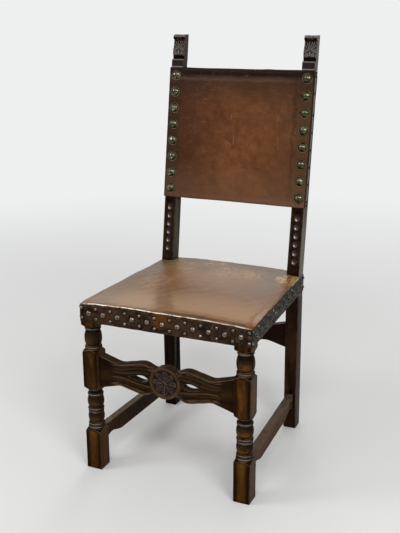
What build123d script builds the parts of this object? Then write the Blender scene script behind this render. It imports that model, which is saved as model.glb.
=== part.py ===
from build123d import *
from math import asin, cos, radians, sin, sqrt, tan
import os

# An open side chair in turned and carved hardwood, with a leather seat and back under dome-headed nails.
# Millimetres, +Z up, the front faces -Y. The origin is on the floor, under the middle of the chair.

# Whole chair
seat_height = 470.0  # floor to the leather at the seat's edge
seat_front_width = 466.0  # over the front legs
back_width = 424.0  # over the rear legs
seat_depth = 463.0  # front of the front legs to the back of the rear legs, at the seat
total_height = 1112.0
back_rake = 8.62  # degrees

# Front legs: three square blocks with two turned lengths between them
leg_side = 44.0
foot_block_height = 112.0
stretcher_block_height = 105.0
head_block_height = 56.0
lower_turning_share = 30 / 47  # of the two turned lengths together
wood_arris = 1.4  # worn rounding along the edges of the blocks and boards
foot_chamfer = 1.0

# Rear legs: one piece each from the floor to the finial
post_width = 36.0
post_floor_depth = 39.0
post_seat_depth = 40.0
post_top_depth = 28.0
post_foot_kick = 8.0  # the foot stands this far behind the face at the seat
post_straight_length = 70.0  # upright stretch below the seat
post_bend_radius = 100.0

# Finial, from the top of the back leather up
finial_collar_height = 23.0
finial_recess_height = 15.0
finial_leaf_height = 39.0
finial_roll_height = 14.0
finial_recess_depth = 5.0
finial_leaf_fall = 3.0  # how far the leaf's ends lie behind the post's face
finial_leaf_swell = 4.5
finial_roll_swell = 6.0
finial_roll_flat = 5.0
finial_notch_radius = 2.4
finial_notch_spacing = 12.5
leaf_vein_width = 2.2
leaf_vein_depth = 2.0
leaf_vein_length = 19.0
leaf_vein_angle = 30.0  # degrees
leaf_vein_count = 5

# Carved beads on the fronts of the posts
bead_count = 6
bead_pitch = 24.0
bead_width = 15.5
bead_height = 21.5
bead_rise = 4.6  # from the floor of the sunk strip
bead_first = 40.0  # centre of the lowest bead, along the post from the seat
strip_width = 21.0
strip_depth = 2.4
strip_margin = 4.0

# Seat rails and their joints
rail_height = 41.0
rail_thickness = 22.0
tenon_thickness = 9.0
tenon_length = 18.0
tenon_shoulder = 5.0

# Front stretcher: a carved board with two pierced eyes and a flower
stretcher_drop = 1.5  # below the middle of the legs' upper block
front_stretcher_height = 94.0
front_stretcher_thickness = 22.0
front_stretcher_setback = 9.0
front_stretcher_shoulder = 16.0
eye_tip = 106.0
eye_end = 47.0
eye_height = 18.0
channel_depth = 2.2
channel_inner_end = 50.0
channel_leg_margin = 31.0
flower_radius = 42.5
flower_rim = 7.5
flower_proud = 3.0
flower_sink = 5.5
petal_count = 8
petal_length = 23.0
petal_width = 12.5
petal_rise = 3.0
petal_centre = 19.5
flower_boss_radius = 7.0

# Rear stretcher
rear_stretcher_lift = 4.0  # above the front stretcher
rear_stretcher_height = 72.0
rear_stretcher_thickness = 20.0
rear_stretcher_setback = 10.0
rear_stretcher_shoulder = 14.0

# Side stretchers
side_stretcher_drop = 4.0  # below the top of the foot block
side_stretcher_height = 46.0
side_stretcher_thickness = 18.0
side_stretcher_shoulder = 8.0
side_groove_width = 2.0
side_groove_depth = 1.6
side_groove_pitch = 7.0

# Back rails, under the leather
back_rail_height = 42.0
back_rail_thickness = 18.0
back_tenon_thickness = 8.0
back_tenon_length = 15.0

# Corner blocks and screws
corner_block_height = 29.0
corner_block_reach = 40.0
screw_diameter = 4.0
screw_head_diameter = 8.0
screw_head_thickness = 2.6
screw_length = 26.0
screw_grip = 14.0  # wood of the block under the head
screw_offset = 15.0
screw_hole_clearance = 0.15

# Seat upholstery
seat_leather = 2.0
webbing_thickness = 1.5
webbing_width = 50.0
lengthwise_pitch = 70.0
lengthwise_count = 5
crosswise_pitch = 84.0
crosswise_count = 4
webbing_end_margin = 5.0
webbing_ramp = 8.0
hessian_thickness = 1.0
hessian_margin = 8.0
seat_pad_edge = 3.0  # stuffing at the rim, above the hessian
seat_crown = 11.0
seat_arris = 4.0
soft_clearance = 0.3

# Back upholstery, along the post from the seat
panel_bottom = 190.0
back_leather = 2.6
back_crown = 6.0
back_wrap = 20.0  # how far the leather reaches round the posts' outer sides
lining_thickness = 1.5
lining_margin = 3.0

# Nails
large_nail_diameter = 15.0
large_nail_rise = 5.0
large_nail_shank = 12.0
small_nail_diameter = 9.0
small_nail_rise = 3.2
small_nail_shank = 6.0
back_nail_diameter = 26.0
back_nail_rise = 8.0
back_nail_shank = 18.0
edge_nail_diameter = 8.0
edge_nail_rise = 2.6
edge_nail_shank = 7.0
nail_shank_diameter = 1.6
nail_hole_clearance = 0.1
band_gaps = 11  # spaces between the small nails of one band
rear_band_gaps = 10
band_corner_margin = 5.3
band_row_spacing = 27.0  # between the upper and the lower small nails
band_drop = 26.5  # from the edge of the seat to the large nails
back_nail_count = 8
back_nail_top_margin = 21.0
back_nail_bottom_margin = 25.5
back_nail_inset = 17.0  # from the post's outer side
lining_nail_count = 9
tack_diameter = 6.0
tack_rise = 1.2
tack_shank = 7.0
cut_overrun = 1.0

# Outlines, as shares of the sizes that they follow
lower_turning_shares = [
    (-0.05, 1.5), (-0.008, 1.23), (0.025, 0.91), (0.061, 1.018), (0.098, 0.836), (0.136, 0.98),
    (0.175, 0.827), (0.308, 0.986), (0.408, 0.88), (0.432, 0.945), (0.457, 0.827), (0.496, 0.98),
    (0.536, 0.827), (0.633, 0.99), (0.808, 0.84), (0.846, 0.96), (0.883, 0.855), (0.921, 0.818),
    (0.9625, 0.923), (1.004, 1.18), (1.05, 1.5),
]
upper_turning_shares = [
    (-0.088, 1.5), (-0.007, 1.205), (0.066, 0.927), (0.137, 1.027), (0.206, 0.882), (0.4265, 1.036),
    (0.765, 0.9), (0.801, 0.85), (0.838, 0.859), (0.882, 0.964), (0.926, 0.877), (0.978, 1.023),
    (1.059, 1.5),
]
block_reach_share = 1.5  # past the corner of the square blank
front_outline_shares = [(1.0, 1.0), (0.79, 0.745), (0.69, 0.65), (0.53, 0.766), (0.29, 0.904), (0.17, 0.72)]
eye_outline_shares = [(0.0, 0.0), (0.3, 0.55), (0.65, 1.0), (0.95, 0.8)]
channel_outer_shares = [(0.0, 0.62), (0.2, 0.57), (0.42, 0.63), (0.65, 0.79), (1.0, 0.87)]
channel_inner_shares = [(0.0, 0.46), (0.2, 0.43), (0.42, 0.47), (0.65, 0.58), (1.0, 0.66)]
rear_outline_shares = [(1.0, 1.0), (0.81, 0.78), (0.66, 0.64), (0.48, 0.76), (0.25, 0.87), (0.0, 0.9)]
side_outline_shares = [(0.0, 0.06), (0.04, 0.15), (0.09, 0.28), (0.14, 0.2), (0.24, 0.0)]
seat_crown_shares = [(0.0, 0.2), (0.25, 0.8), (0.5, 1.0), (0.75, 0.95), (1.0, 0.5)]
back_crown_shares = [(0.0, 0.15), (0.25, 0.8), (0.5, 1.0), (0.75, 0.8), (1.0, 0.15)]
edge_nail_shares = [0.016, 0.045, 0.172, 0.300, 0.428, 0.553, 0.681, 0.836, 0.960, 0.984]

# Places along Y: the chair's whole depth is centred on the origin
rake = radians(back_rake)
post_rise = total_height - seat_height
post_top_back = seat_depth - post_seat_depth + post_rise * tan(rake) + post_top_depth
front_y = -(post_top_back - seat_leather - large_nail_rise) / 2
leg_back_y = front_y + leg_side
post_front_y = front_y + seat_depth - post_seat_depth
post_back_y = front_y + seat_depth

# Places along X
leg_outer_x = seat_front_width / 2
leg_inner_x = leg_outer_x - leg_side
leg_x = leg_outer_x - leg_side / 2
post_outer_x = back_width / 2
post_inner_x = post_outer_x - post_width
post_x = post_outer_x - post_width / 2

# Places along Z
frame_top = seat_height - seat_leather - seat_pad_edge - hessian_thickness - 2 * webbing_thickness
rail_bottom = frame_top - rail_height
webbing_top = frame_top + 2 * webbing_thickness
hessian_top = webbing_top + hessian_thickness
turned_length = frame_top - foot_block_height - stretcher_block_height - head_block_height
lower_turning_height = turned_length * lower_turning_share
upper_turning_height = turned_length - lower_turning_height
lower_turning_z = foot_block_height
stretcher_block_z = lower_turning_z + lower_turning_height
upper_turning_z = stretcher_block_z + stretcher_block_height
stretcher_axis = stretcher_block_z + stretcher_block_height / 2 - stretcher_drop
rear_stretcher_axis = stretcher_axis + rear_stretcher_lift
side_stretcher_z = foot_block_height - side_stretcher_drop - side_stretcher_height
post_straight_z = seat_height - post_straight_length

# Places along the raked post, measured from the seat
post_length = post_rise / cos(rake)
roll_v = post_length - finial_roll_height
leaf_v = roll_v - finial_leaf_height
recess_v = leaf_v - finial_recess_height
panel_top = recess_v - finial_collar_height
panel_height = panel_top - panel_bottom

# The front face of the posts above the seat: X to the right, Y up along the post, Z out of the face
post_face = Plane(origin=(0, post_front_y, seat_height), x_dir=(1, 0, 0), z_dir=(0, -cos(rake), sin(rake)))


def outer_x(y):
    """Half width of the seat frame at y: the sides narrow evenly towards the back."""
    return leg_outer_x - (leg_outer_x - post_outer_x) * (y - front_y) / seat_depth


def on_post(v, depth):
    """Side-view point at v along the post's front face and depth behind it, as (y, z)."""
    return (
        post_front_y + v * sin(rake) + depth * cos(rake),
        seat_height + v * cos(rake) - depth * sin(rake),
    )


def block(low, high):
    """Box between two opposite corners."""
    centre = tuple((a + b) / 2 for a, b in zip(low, high))
    with BuildPart() as box:
        with Locations(centre):
            Box(*(b - a for a, b in zip(low, high)))
    return box.part


def both_sides(piece):
    """A right-hand piece and its mirror image."""
    return [piece, mirror(piece, about=Plane.YZ)]


# Tenons, cut on the rails and stretchers and let into the legs


def cross_tenon(inner_x, length, low_y, thickness, low_z, high_z):
    """Tenon that enters the right-hand leg along X."""
    return block((inner_x, low_y, low_z), (inner_x + length, low_y + thickness, high_z))


rail_tenon_low = rail_bottom + tenon_shoulder
rail_tenon_high = frame_top - tenon_shoulder
rail_tenon_inset = (rail_thickness - tenon_thickness) / 2
front_rail_tenon = cross_tenon(
    leg_inner_x, tenon_length, front_y + rail_tenon_inset, tenon_thickness, rail_tenon_low, rail_tenon_high
)
rear_rail_tenon = cross_tenon(
    post_inner_x,
    tenon_length,
    post_back_y - rail_tenon_inset - tenon_thickness,
    tenon_thickness,
    rail_tenon_low,
    rail_tenon_high,
)
side_front_tenon_x = outer_x(leg_back_y) - rail_tenon_inset
side_front_tenon = block(
    (side_front_tenon_x - tenon_thickness, leg_back_y - tenon_length, rail_tenon_low),
    (side_front_tenon_x, leg_back_y, rail_tenon_high),
)
side_rear_tenon_x = outer_x(post_front_y) - rail_tenon_inset
side_rear_tenon = block(
    (side_rear_tenon_x - tenon_thickness, post_front_y, rail_tenon_low),
    (side_rear_tenon_x, post_front_y + tenon_length, rail_tenon_high),
)
front_stretcher_y = front_y + front_stretcher_setback
front_stretcher_tenon = cross_tenon(
    leg_inner_x,
    tenon_length,
    front_stretcher_y + (front_stretcher_thickness - tenon_thickness) / 2,
    tenon_thickness,
    stretcher_axis - front_stretcher_height / 2 + front_stretcher_shoulder,
    stretcher_axis + front_stretcher_height / 2 - front_stretcher_shoulder,
)
rear_stretcher_y = post_front_y + rear_stretcher_setback
rear_stretcher_tenon = cross_tenon(
    post_inner_x,
    tenon_length,
    rear_stretcher_y + (rear_stretcher_thickness - tenon_thickness) / 2,
    tenon_thickness,
    rear_stretcher_axis - rear_stretcher_height / 2 + rear_stretcher_shoulder,
    rear_stretcher_axis + rear_stretcher_height / 2 - rear_stretcher_shoulder,
)

# The side stretcher's own plane: X along the stretcher from leg to leg, Y up, Z outwards
side_run_x = post_x - leg_x
side_run_y = post_front_y + post_foot_kick - leg_back_y
side_run = sqrt(side_run_x**2 + side_run_y**2)
side_plane = Plane(
    origin=(leg_x, leg_back_y, side_stretcher_z),
    x_dir=(side_run_x, side_run_y, 0),
    z_dir=(side_run_y, -side_run_x, 0),
)
with BuildPart() as side_stretcher_tenons:
    with BuildSketch(side_plane):
        with Locations((side_run / 2, side_stretcher_height / 2)):
            Rectangle(side_run + 2 * tenon_length, side_stretcher_height - 2 * side_stretcher_shoulder)
    extrude(amount=tenon_thickness / 2, both=True)

# Tenons of the back rails, square to the raked posts
back_rail_places = [
    panel_bottom + back_leather + back_rail_height / 2,
    panel_top - back_leather - back_rail_height / 2,
]
back_rail_depth = hessian_thickness + back_rail_thickness / 2
with BuildPart() as back_rail_tenons:
    with BuildSketch(post_face.offset(-back_rail_depth)):
        for place in back_rail_places:
            with Locations((post_inner_x + back_tenon_length / 2, place)):
                Rectangle(back_tenon_length, back_rail_height - 2 * tenon_shoulder)
    extrude(amount=back_tenon_thickness / 2, both=True)

# Nails and screws


def dome_nail(diameter, rise, shank):
    """Dome-headed nail whose head rests on the XY plane, with its shank along -Z."""
    radius = diameter / 2
    dome = (radius**2 + rise**2) / (2 * rise)
    half_angle = asin(radius / dome) / 2
    with BuildPart() as nail:
        with BuildSketch(Plane.XZ):
            with BuildLine():
                ThreePointArc(
                    (radius, 0),
                    (dome * sin(half_angle), rise - dome + dome * cos(half_angle)),
                    (0, rise),
                )
                Polyline(
                    (0, rise),
                    (0, -shank),
                    (nail_shank_diameter / 2, -shank),
                    (nail_shank_diameter / 2, 0),
                    (radius, 0),
                )
            make_face()
        revolve(axis=Axis.Z)
    return nail.part


def nail_hole(shank):
    """Bore that a nail's shank passes through."""
    with BuildPart() as bore:
        with Locations((0, 0, -shank / 2)):
            Cylinder(nail_shank_diameter / 2 + nail_hole_clearance, shank + 2 * cut_overrun)
    return bore.part


def placed(piece, places):
    """Copies of one piece at several places."""
    return [piece.moved(place) for place in places]


def on_plane(plane, points):
    """Places on a plane, facing out of it."""
    return [plane.location * Location((x, y, 0)) for x, y in points]


def band_points(length, gaps):
    """Nails of one band, centred: small ones in two rows, large ones staggered between them."""
    pitch = (length - 2 * band_corner_margin) / gaps
    first = band_corner_margin - length / 2
    rows = (band_row_spacing / 2, -band_row_spacing / 2)
    small = [(first + pitch * step, row) for row in rows for step in range(gaps + 1)]
    large = [(first + pitch * step + pitch / 2, 0) for step in range(gaps)]
    return small, large


band_z = seat_height - band_drop
front_band_plane = Plane(origin=(0, front_y - seat_leather, band_z), x_dir=(1, 0, 0), z_dir=(0, -1, 0))
rear_band_plane = Plane(origin=(0, post_back_y + seat_leather, band_z), x_dir=(-1, 0, 0), z_dir=(0, 1, 0))
side_band_x = post_outer_x - leg_outer_x
side_band_length = sqrt(side_band_x**2 + seat_depth**2)
side_band_normal = Vector(seat_depth, -side_band_x, 0).normalized()
side_band_centre = Vector((leg_outer_x + post_outer_x) / 2, front_y + seat_depth / 2, band_z)
side_band_plane = Plane(
    origin=side_band_centre + side_band_normal * seat_leather,
    x_dir=(side_band_x, seat_depth, 0),
    z_dir=side_band_normal,
)
front_small, front_large = band_points(seat_front_width, band_gaps)
rear_small, rear_large = band_points(back_width, rear_band_gaps)
side_small, side_large = band_points(side_band_length, band_gaps)

small_nail = dome_nail(small_nail_diameter, small_nail_rise, small_nail_shank)
large_nail = dome_nail(large_nail_diameter, large_nail_rise, large_nail_shank)
back_nail = dome_nail(back_nail_diameter, back_nail_rise, back_nail_shank)
edge_nail = dome_nail(edge_nail_diameter, edge_nail_rise, edge_nail_shank)
tack = dome_nail(tack_diameter, tack_rise, tack_shank)
small_hole = nail_hole(small_nail_shank)
large_hole = nail_hole(large_nail_shank)
back_hole = nail_hole(back_nail_shank)
edge_hole = nail_hole(edge_nail_shank)
tack_hole = nail_hole(tack_shank)

front_small_places = on_plane(front_band_plane, front_small)
front_large_places = on_plane(front_band_plane, front_large)
rear_small_places = on_plane(rear_band_plane, rear_small)
rear_large_places = on_plane(rear_band_plane, rear_large)
side_small_places = on_plane(side_band_plane, side_small)
side_large_places = on_plane(side_band_plane, side_large)

# Large nails on the posts' faces and small ones on their outer sides, both through the leather
back_nail_span = panel_height - back_nail_top_margin - back_nail_bottom_margin
back_nail_pitch = back_nail_span / (back_nail_count - 1)
back_nail_first = panel_bottom + back_nail_bottom_margin
back_nail_points = [
    (post_outer_x - back_nail_inset, back_nail_first + back_nail_pitch * step)
    for step in range(back_nail_count)
]
back_nail_places = on_plane(post_face.offset(back_leather), back_nail_points)
edge_nail_depth = back_wrap / 2
edge_nail_places = []
for share in edge_nail_shares:
    nail_y, nail_z = on_post(panel_bottom + panel_height * share, edge_nail_depth)
    edge_plane = Plane(origin=(post_outer_x + back_leather, nail_y, nail_z), x_dir=(0, 1, 0), z_dir=(1, 0, 0))
    edge_nail_places.append(edge_plane.location)

front_band_holes = placed(small_hole, front_small_places) + placed(large_hole, front_large_places)
rear_band_holes = placed(small_hole, rear_small_places) + placed(large_hole, rear_large_places)
side_band_holes = placed(small_hole, side_small_places) + placed(large_hole, side_large_places)
back_holes = placed(back_hole, back_nail_places) + placed(edge_hole, edge_nail_places)

# Webbing straps over the seat frame, and the tacks that hold their ends
lengthwise_x = [lengthwise_pitch * (step - (lengthwise_count - 1) / 2) for step in range(lengthwise_count)]
crosswise_y = [
    front_y + seat_depth / 2 + crosswise_pitch * (step - (crosswise_count - 1) / 2)
    for step in range(crosswise_count)
]
tack_spread = webbing_width / 4
top_plane = Plane.XY.offset(frame_top + webbing_thickness)
tack_inset = rail_thickness / 2
rail_tack_points = [
    (x + tack_spread * side, y)
    for x in lengthwise_x
    for side in (-1, 1)
    for y in (front_y + tack_inset, post_back_y - tack_inset)
]
side_tack_points = [
    (outer_x(y) - tack_inset, y + tack_spread * side)
    for y in crosswise_y
    for side in (-1, 1)
]
side_tack_points_left = [(-x, y) for x, y in side_tack_points]
rail_tack_places = on_plane(top_plane, rail_tack_points)
side_tack_places = on_plane(top_plane, side_tack_points)
side_tack_places_left = on_plane(top_plane, side_tack_points_left)

# Front legs


def turned_line(bottom, height, shares):
    """Arcs through the turned members: each share is a height along the turning and a radius."""
    points = [(leg_side / 2 * radius, bottom + height * level) for level, radius in shares]
    for start, crown, end in zip(points[0::2], points[1::2], points[2::2]):
        ThreePointArc(start, crown, end)
    return points[0], points[-1]


with BuildPart() as front_leg_blank:
    with BuildSketch():
        with Locations((leg_x, leg_back_y - leg_side / 2)):
            RectangleRounded(leg_side, leg_side, wood_arris)
    extrude(amount=frame_top)
    chamfer(edges().group_by(Axis.Z)[0], length=foot_chamfer)
    with BuildSketch(Plane(origin=(leg_x, leg_back_y - leg_side / 2, 0), x_dir=(1, 0, 0), z_dir=(0, -1, 0))):
        with BuildLine():
            lower_start, lower_end = turned_line(lower_turning_z, lower_turning_height, lower_turning_shares)
            upper_start, upper_end = turned_line(upper_turning_z, upper_turning_height, upper_turning_shares)
            reach = leg_side / 2 * block_reach_share
            Line(lower_end, upper_start)
            Polyline(upper_end, (reach, frame_top), (0, frame_top), (0, 0), (reach, 0), lower_start)
        make_face()
    revolve(axis=Axis((leg_x, leg_back_y - leg_side / 2, 0), (0, 0, 1)), mode=Mode.INTERSECT)
    # The head's outer cheek is planed to follow the slant of the seat under the leather
    with BuildSketch(Plane.XY.offset(rail_bottom)):
        with BuildLine():
            Polyline(
                (leg_outer_x, front_y),
                (leg_outer_x + leg_side, front_y),
                (leg_outer_x + leg_side, leg_back_y),
                (outer_x(leg_back_y), leg_back_y),
                close=True,
            )
        make_face()
    extrude(amount=rail_height, mode=Mode.SUBTRACT)

with BuildPart() as front_leg_right:
    add(front_leg_blank.part)
    leg_tenons = [front_rail_tenon, side_front_tenon, front_stretcher_tenon, side_stretcher_tenons.part]
    add(leg_tenons + front_band_holes + side_band_holes, mode=Mode.SUBTRACT)
front_leg_right.part.label = "front_leg_right"

# Rear legs, with the sunk strip of beads and the finial

bead = scale(Sphere(1), by=(bead_width / 2, bead_height / 2, bead_rise))
bead_places = on_plane(
    post_face.offset(-strip_depth), [(post_x, bead_first + bead_pitch * step) for step in range(bead_count)]
)
strip_height = bead_pitch * (bead_count - 1) + bead_height + 2 * strip_margin

with BuildPart() as rear_leg_blank:
    with BuildSketch(Plane.YZ.offset(post_inner_x)):
        with BuildLine():
            Polyline(
                on_post(recess_v, 0),
                (post_front_y, seat_height),
                (post_front_y, post_straight_z),
                (post_front_y + post_foot_kick, 0),
                (post_front_y + post_foot_kick + post_floor_depth, 0),
                (post_back_y, post_straight_z),
                (post_back_y, seat_height),
                (front_y + post_top_back, total_height),
                (post_front_y + post_rise * tan(rake) + finial_roll_flat, total_height),
            )
            ThreePointArc(
                (post_front_y + post_rise * tan(rake) + finial_roll_flat, total_height),
                on_post(roll_v + finial_roll_height / 2, finial_leaf_fall - finial_roll_swell),
                on_post(roll_v, finial_leaf_fall),
            )
            ThreePointArc(
                on_post(roll_v, finial_leaf_fall),
                on_post((roll_v + leaf_v) / 2, finial_leaf_fall - finial_leaf_swell),
                on_post(leaf_v, finial_leaf_fall),
            )
            ThreePointArc(
                on_post(leaf_v, finial_leaf_fall),
                on_post((leaf_v + recess_v) / 2, finial_recess_depth),
                on_post(recess_v, finial_leaf_fall),
            )
            Line(on_post(recess_v, finial_leaf_fall), on_post(recess_v, 0))
        make_face()
        bends = vertices().filter_by_position(
            Axis.Y, post_straight_z - cut_overrun, seat_height + cut_overrun
        )
        fillet(bends, radius=post_bend_radius)
    extrude(amount=post_width)
    fillet(faces().sort_by(Axis.X)[0].edges() + faces().sort_by(Axis.X)[-1].edges(), radius=wood_arris)

with BuildPart() as rear_leg_right:
    add(rear_leg_blank.part)
    post_tenons = [rear_rail_tenon, side_rear_tenon, rear_stretcher_tenon, side_stretcher_tenons.part]
    post_holes = side_band_holes + rear_band_holes + back_holes
    add(post_tenons + [back_rail_tenons.part] + post_holes, mode=Mode.SUBTRACT)
    # The roll is cut into three lobes, and veins fan out over the leaf
    roll_y = post_front_y + post_rise * tan(rake)
    with Locations(*[(post_x + side * finial_notch_spacing / 2, roll_y, total_height) for side in (-1, 1)]):
        Cylinder(finial_notch_radius, 2 * post_top_depth, rotation=(90, 0, 0), mode=Mode.SUBTRACT)
    vein_step = 2 * leaf_vein_angle / (leaf_vein_count - 1)
    with BuildSketch(post_face.offset(-finial_leaf_fall)):
        for step in range(leaf_vein_count):
            turn = step * vein_step - leaf_vein_angle
            with Locations(Location((post_x, leaf_v, 0), (0, 0, turn))):
                with Locations((0, finial_leaf_height / 2)):
                    SlotOverall(leaf_vein_length, leaf_vein_width, rotation=90)
    extrude(amount=leaf_vein_depth, both=True, mode=Mode.SUBTRACT)
    with BuildSketch(post_face):
        with Locations((post_x, bead_first + bead_pitch * (bead_count - 1) / 2)):
            SlotOverall(strip_height, strip_width, rotation=90)
    extrude(amount=-strip_depth, mode=Mode.SUBTRACT)
    with Locations(*bead_places):
        add(bead)
rear_leg_right.part.label = "rear_leg_right"

with BuildPart() as front_leg_left:
    mirror(front_leg_right.part, about=Plane.YZ)
front_leg_left.part.label = "front_leg_left"

with BuildPart() as rear_leg_left:
    mirror(rear_leg_right.part, about=Plane.YZ)
rear_leg_left.part.label = "rear_leg_left"

# Corner blocks, screwed to the rails behind the legs


def screw_along(direction, seat_point):
    """Screw whose head rests at seat_point and whose shank runs along direction."""
    return Plane(origin=seat_point, z_dir=tuple(-value for value in direction)).location


with BuildPart() as screw:
    with Locations((0, 0, screw_head_thickness / 2)):
        Cylinder(screw_head_diameter / 2, screw_head_thickness)
    with Locations((0, 0, -screw_length / 2)):
        Cylinder(screw_diameter / 2, screw_length)
with BuildPart() as screw_bore:
    with Locations((0, 0, -screw_length / 2)):
        Cylinder(screw_diameter / 2 + screw_hole_clearance, screw_length + 2 * cut_overrun)
    with Locations((0, 0, corner_block_reach / 2)):
        Cylinder(screw_head_diameter / 2 + screw_hole_clearance, corner_block_reach)

screw_z = rail_bottom + rail_height / 2
front_inner_y = front_y + rail_thickness
rear_inner_y = post_back_y - rail_thickness
front_screw_y = leg_back_y + screw_offset
rear_screw_y = post_front_y - screw_offset
screw_places = [
    screw_along((0, -1, 0), (leg_inner_x - screw_offset, front_inner_y + screw_grip, screw_z)),
    screw_along((1, 0, 0), (outer_x(front_screw_y) - rail_thickness - screw_grip, front_screw_y, screw_z)),
    screw_along((0, 1, 0), (post_inner_x - screw_offset, rear_inner_y - screw_grip, screw_z)),
    screw_along((1, 0, 0), (outer_x(rear_screw_y) - rail_thickness - screw_grip, rear_screw_y, screw_z)),
]
screw_bores = placed(screw_bore.part, screw_places)
screw_bores_left = [mirror(bore, about=Plane.YZ) for bore in screw_bores]

front_block_back_y = leg_back_y + corner_block_reach
rear_block_front_y = post_front_y - corner_block_reach
corner_outlines = {
    "corner_block_front": [
        (leg_inner_x - corner_block_reach, front_inner_y),
        (leg_inner_x, front_inner_y),
        (leg_inner_x, leg_back_y),
        (outer_x(leg_back_y) - rail_thickness, leg_back_y),
        (outer_x(front_block_back_y) - rail_thickness, front_block_back_y),
    ],
    "corner_block_rear": [
        (post_inner_x - corner_block_reach, rear_inner_y),
        (post_inner_x, rear_inner_y),
        (post_inner_x, post_front_y),
        (outer_x(post_front_y) - rail_thickness, post_front_y),
        (outer_x(rear_block_front_y) - rail_thickness, rear_block_front_y),
    ],
}
corner_blocks = []
for name, outline in corner_outlines.items():
    with BuildPart() as corner_block_right:
        with BuildSketch(Plane.XY.offset(screw_z)):
            with BuildLine():
                Polyline(*outline, close=True)
            make_face()
        extrude(amount=corner_block_height / 2, both=True)
        add(screw_bores, mode=Mode.SUBTRACT)
    with BuildPart() as corner_block_left:
        mirror(corner_block_right.part, about=Plane.YZ)
    corner_block_right.part.label = name + "_right"
    corner_block_left.part.label = name + "_left"
    corner_blocks += [corner_block_right.part, corner_block_left.part]

with BuildPart() as corner_block_screws:
    add([copy for piece in placed(screw.part, screw_places) for copy in both_sides(piece)])
corner_block_screws.part.label = "corner_block_screws"

# Seat rails

with BuildPart() as seat_front_rail:
    add(block((-leg_inner_x, front_y, rail_bottom), (leg_inner_x, front_inner_y, frame_top)))
    add(both_sides(front_rail_tenon))
    add(front_band_holes + screw_bores + screw_bores_left, mode=Mode.SUBTRACT)
    add(placed(tack_hole, rail_tack_places), mode=Mode.SUBTRACT)
seat_front_rail.part.label = "seat_front_rail"

with BuildPart() as seat_rear_rail:
    add(block((-post_inner_x, rear_inner_y, rail_bottom), (post_inner_x, post_back_y, frame_top)))
    add(both_sides(rear_rail_tenon))
    add(rear_band_holes + screw_bores + screw_bores_left, mode=Mode.SUBTRACT)
    add(placed(tack_hole, rail_tack_places), mode=Mode.SUBTRACT)
seat_rear_rail.part.label = "seat_rear_rail"

with BuildPart() as seat_side_rail_right:
    with BuildSketch(Plane.XY.offset(rail_bottom)):
        with BuildLine():
            Polyline(
                (outer_x(leg_back_y), leg_back_y),
                (outer_x(post_front_y), post_front_y),
                (outer_x(post_front_y) - rail_thickness, post_front_y),
                (outer_x(leg_back_y) - rail_thickness, leg_back_y),
                close=True,
            )
        make_face()
    extrude(amount=rail_height)
    add([side_front_tenon, side_rear_tenon])
    add(side_band_holes + screw_bores, mode=Mode.SUBTRACT)
    add(placed(tack_hole, side_tack_places), mode=Mode.SUBTRACT)
seat_side_rail_right.part.label = "seat_side_rail_right"

with BuildPart() as seat_side_rail_left:
    mirror(seat_side_rail_right.part, about=Plane.YZ)
seat_side_rail_left.part.label = "seat_side_rail_left"

# Front stretcher


def quarter_edges(half_span, half_height, shares):
    """Edges of a quarter of a board's outline, from its end to its middle."""
    points = [(half_span * along, half_height * up) for along, up in shares]
    Spline(points)
    Polyline(points[0], (half_span, 0), (0, 0), (0, points[-1][1]))
    if points[-1][0] > 0:
        Line(points[-1], (0, points[-1][1]))


front_board = Plane(origin=(0, front_stretcher_y, stretcher_axis), x_dir=(1, 0, 0), z_dir=(0, -1, 0))
channel_outer_end = leg_inner_x - channel_leg_margin
channel_length = channel_outer_end - channel_inner_end
flower_floor = front_board.offset(flower_proud - flower_sink)

with BuildPart() as front_stretcher:
    with BuildSketch(front_board):
        with BuildLine():
            quarter_edges(leg_inner_x, front_stretcher_height / 2, front_outline_shares)
        make_face()
        mirror(about=Plane.XZ)
        mirror(about=Plane.YZ)
    extrude(amount=-front_stretcher_thickness)
    # Two pierced eyes, pointed towards the legs
    with BuildSketch(front_board):
        eye_points = [
            (eye_tip - (eye_tip - eye_end) * along, eye_height / 2 * up) for along, up in eye_outline_shares
        ]
        with BuildLine():
            Spline(eye_points)
            ThreePointArc(eye_points[-1], (eye_end, 0), (eye_points[-1][0], -eye_points[-1][1]))
            Spline([(x, -y) for x, y in reversed(eye_points)])
        make_face()
        mirror(about=Plane.YZ)
    extrude(amount=-front_stretcher_thickness, mode=Mode.SUBTRACT)
    # Sunk channels that follow the board's edges
    with BuildSketch(front_board):
        with BuildLine():
            outer_points = [
                (channel_outer_end - channel_length * along, front_stretcher_height / 2 * up)
                for along, up in channel_outer_shares
            ]
            inner_points = [
                (channel_outer_end - channel_length * along, front_stretcher_height / 2 * up)
                for along, up in channel_inner_shares
            ]
            Spline(outer_points)
            Spline(inner_points)
            Line(outer_points[0], inner_points[0])
            Line(outer_points[-1], inner_points[-1])
        make_face()
        mirror(about=Plane.XZ)
        mirror(about=Plane.YZ)
    extrude(amount=-channel_depth, mode=Mode.SUBTRACT)
    # The flower: a raised rim round eight petals and a boss
    with BuildSketch(front_board.offset(flower_proud)):
        Circle(flower_radius)
    extrude(amount=-front_stretcher_thickness - flower_proud)
    with BuildSketch(front_board.offset(flower_proud)):
        Circle(flower_radius - flower_rim)
    extrude(amount=-flower_sink, mode=Mode.SUBTRACT)
    with BuildSketch(flower_floor):
        with PolarLocations(petal_centre, petal_count):
            Ellipse(petal_length / 2, petal_width / 2)
    extrude(amount=petal_rise)
    with Locations(flower_floor.location):
        Sphere(flower_boss_radius)
    add(both_sides(front_stretcher_tenon))
front_stretcher.part.label = "front_stretcher"

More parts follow.
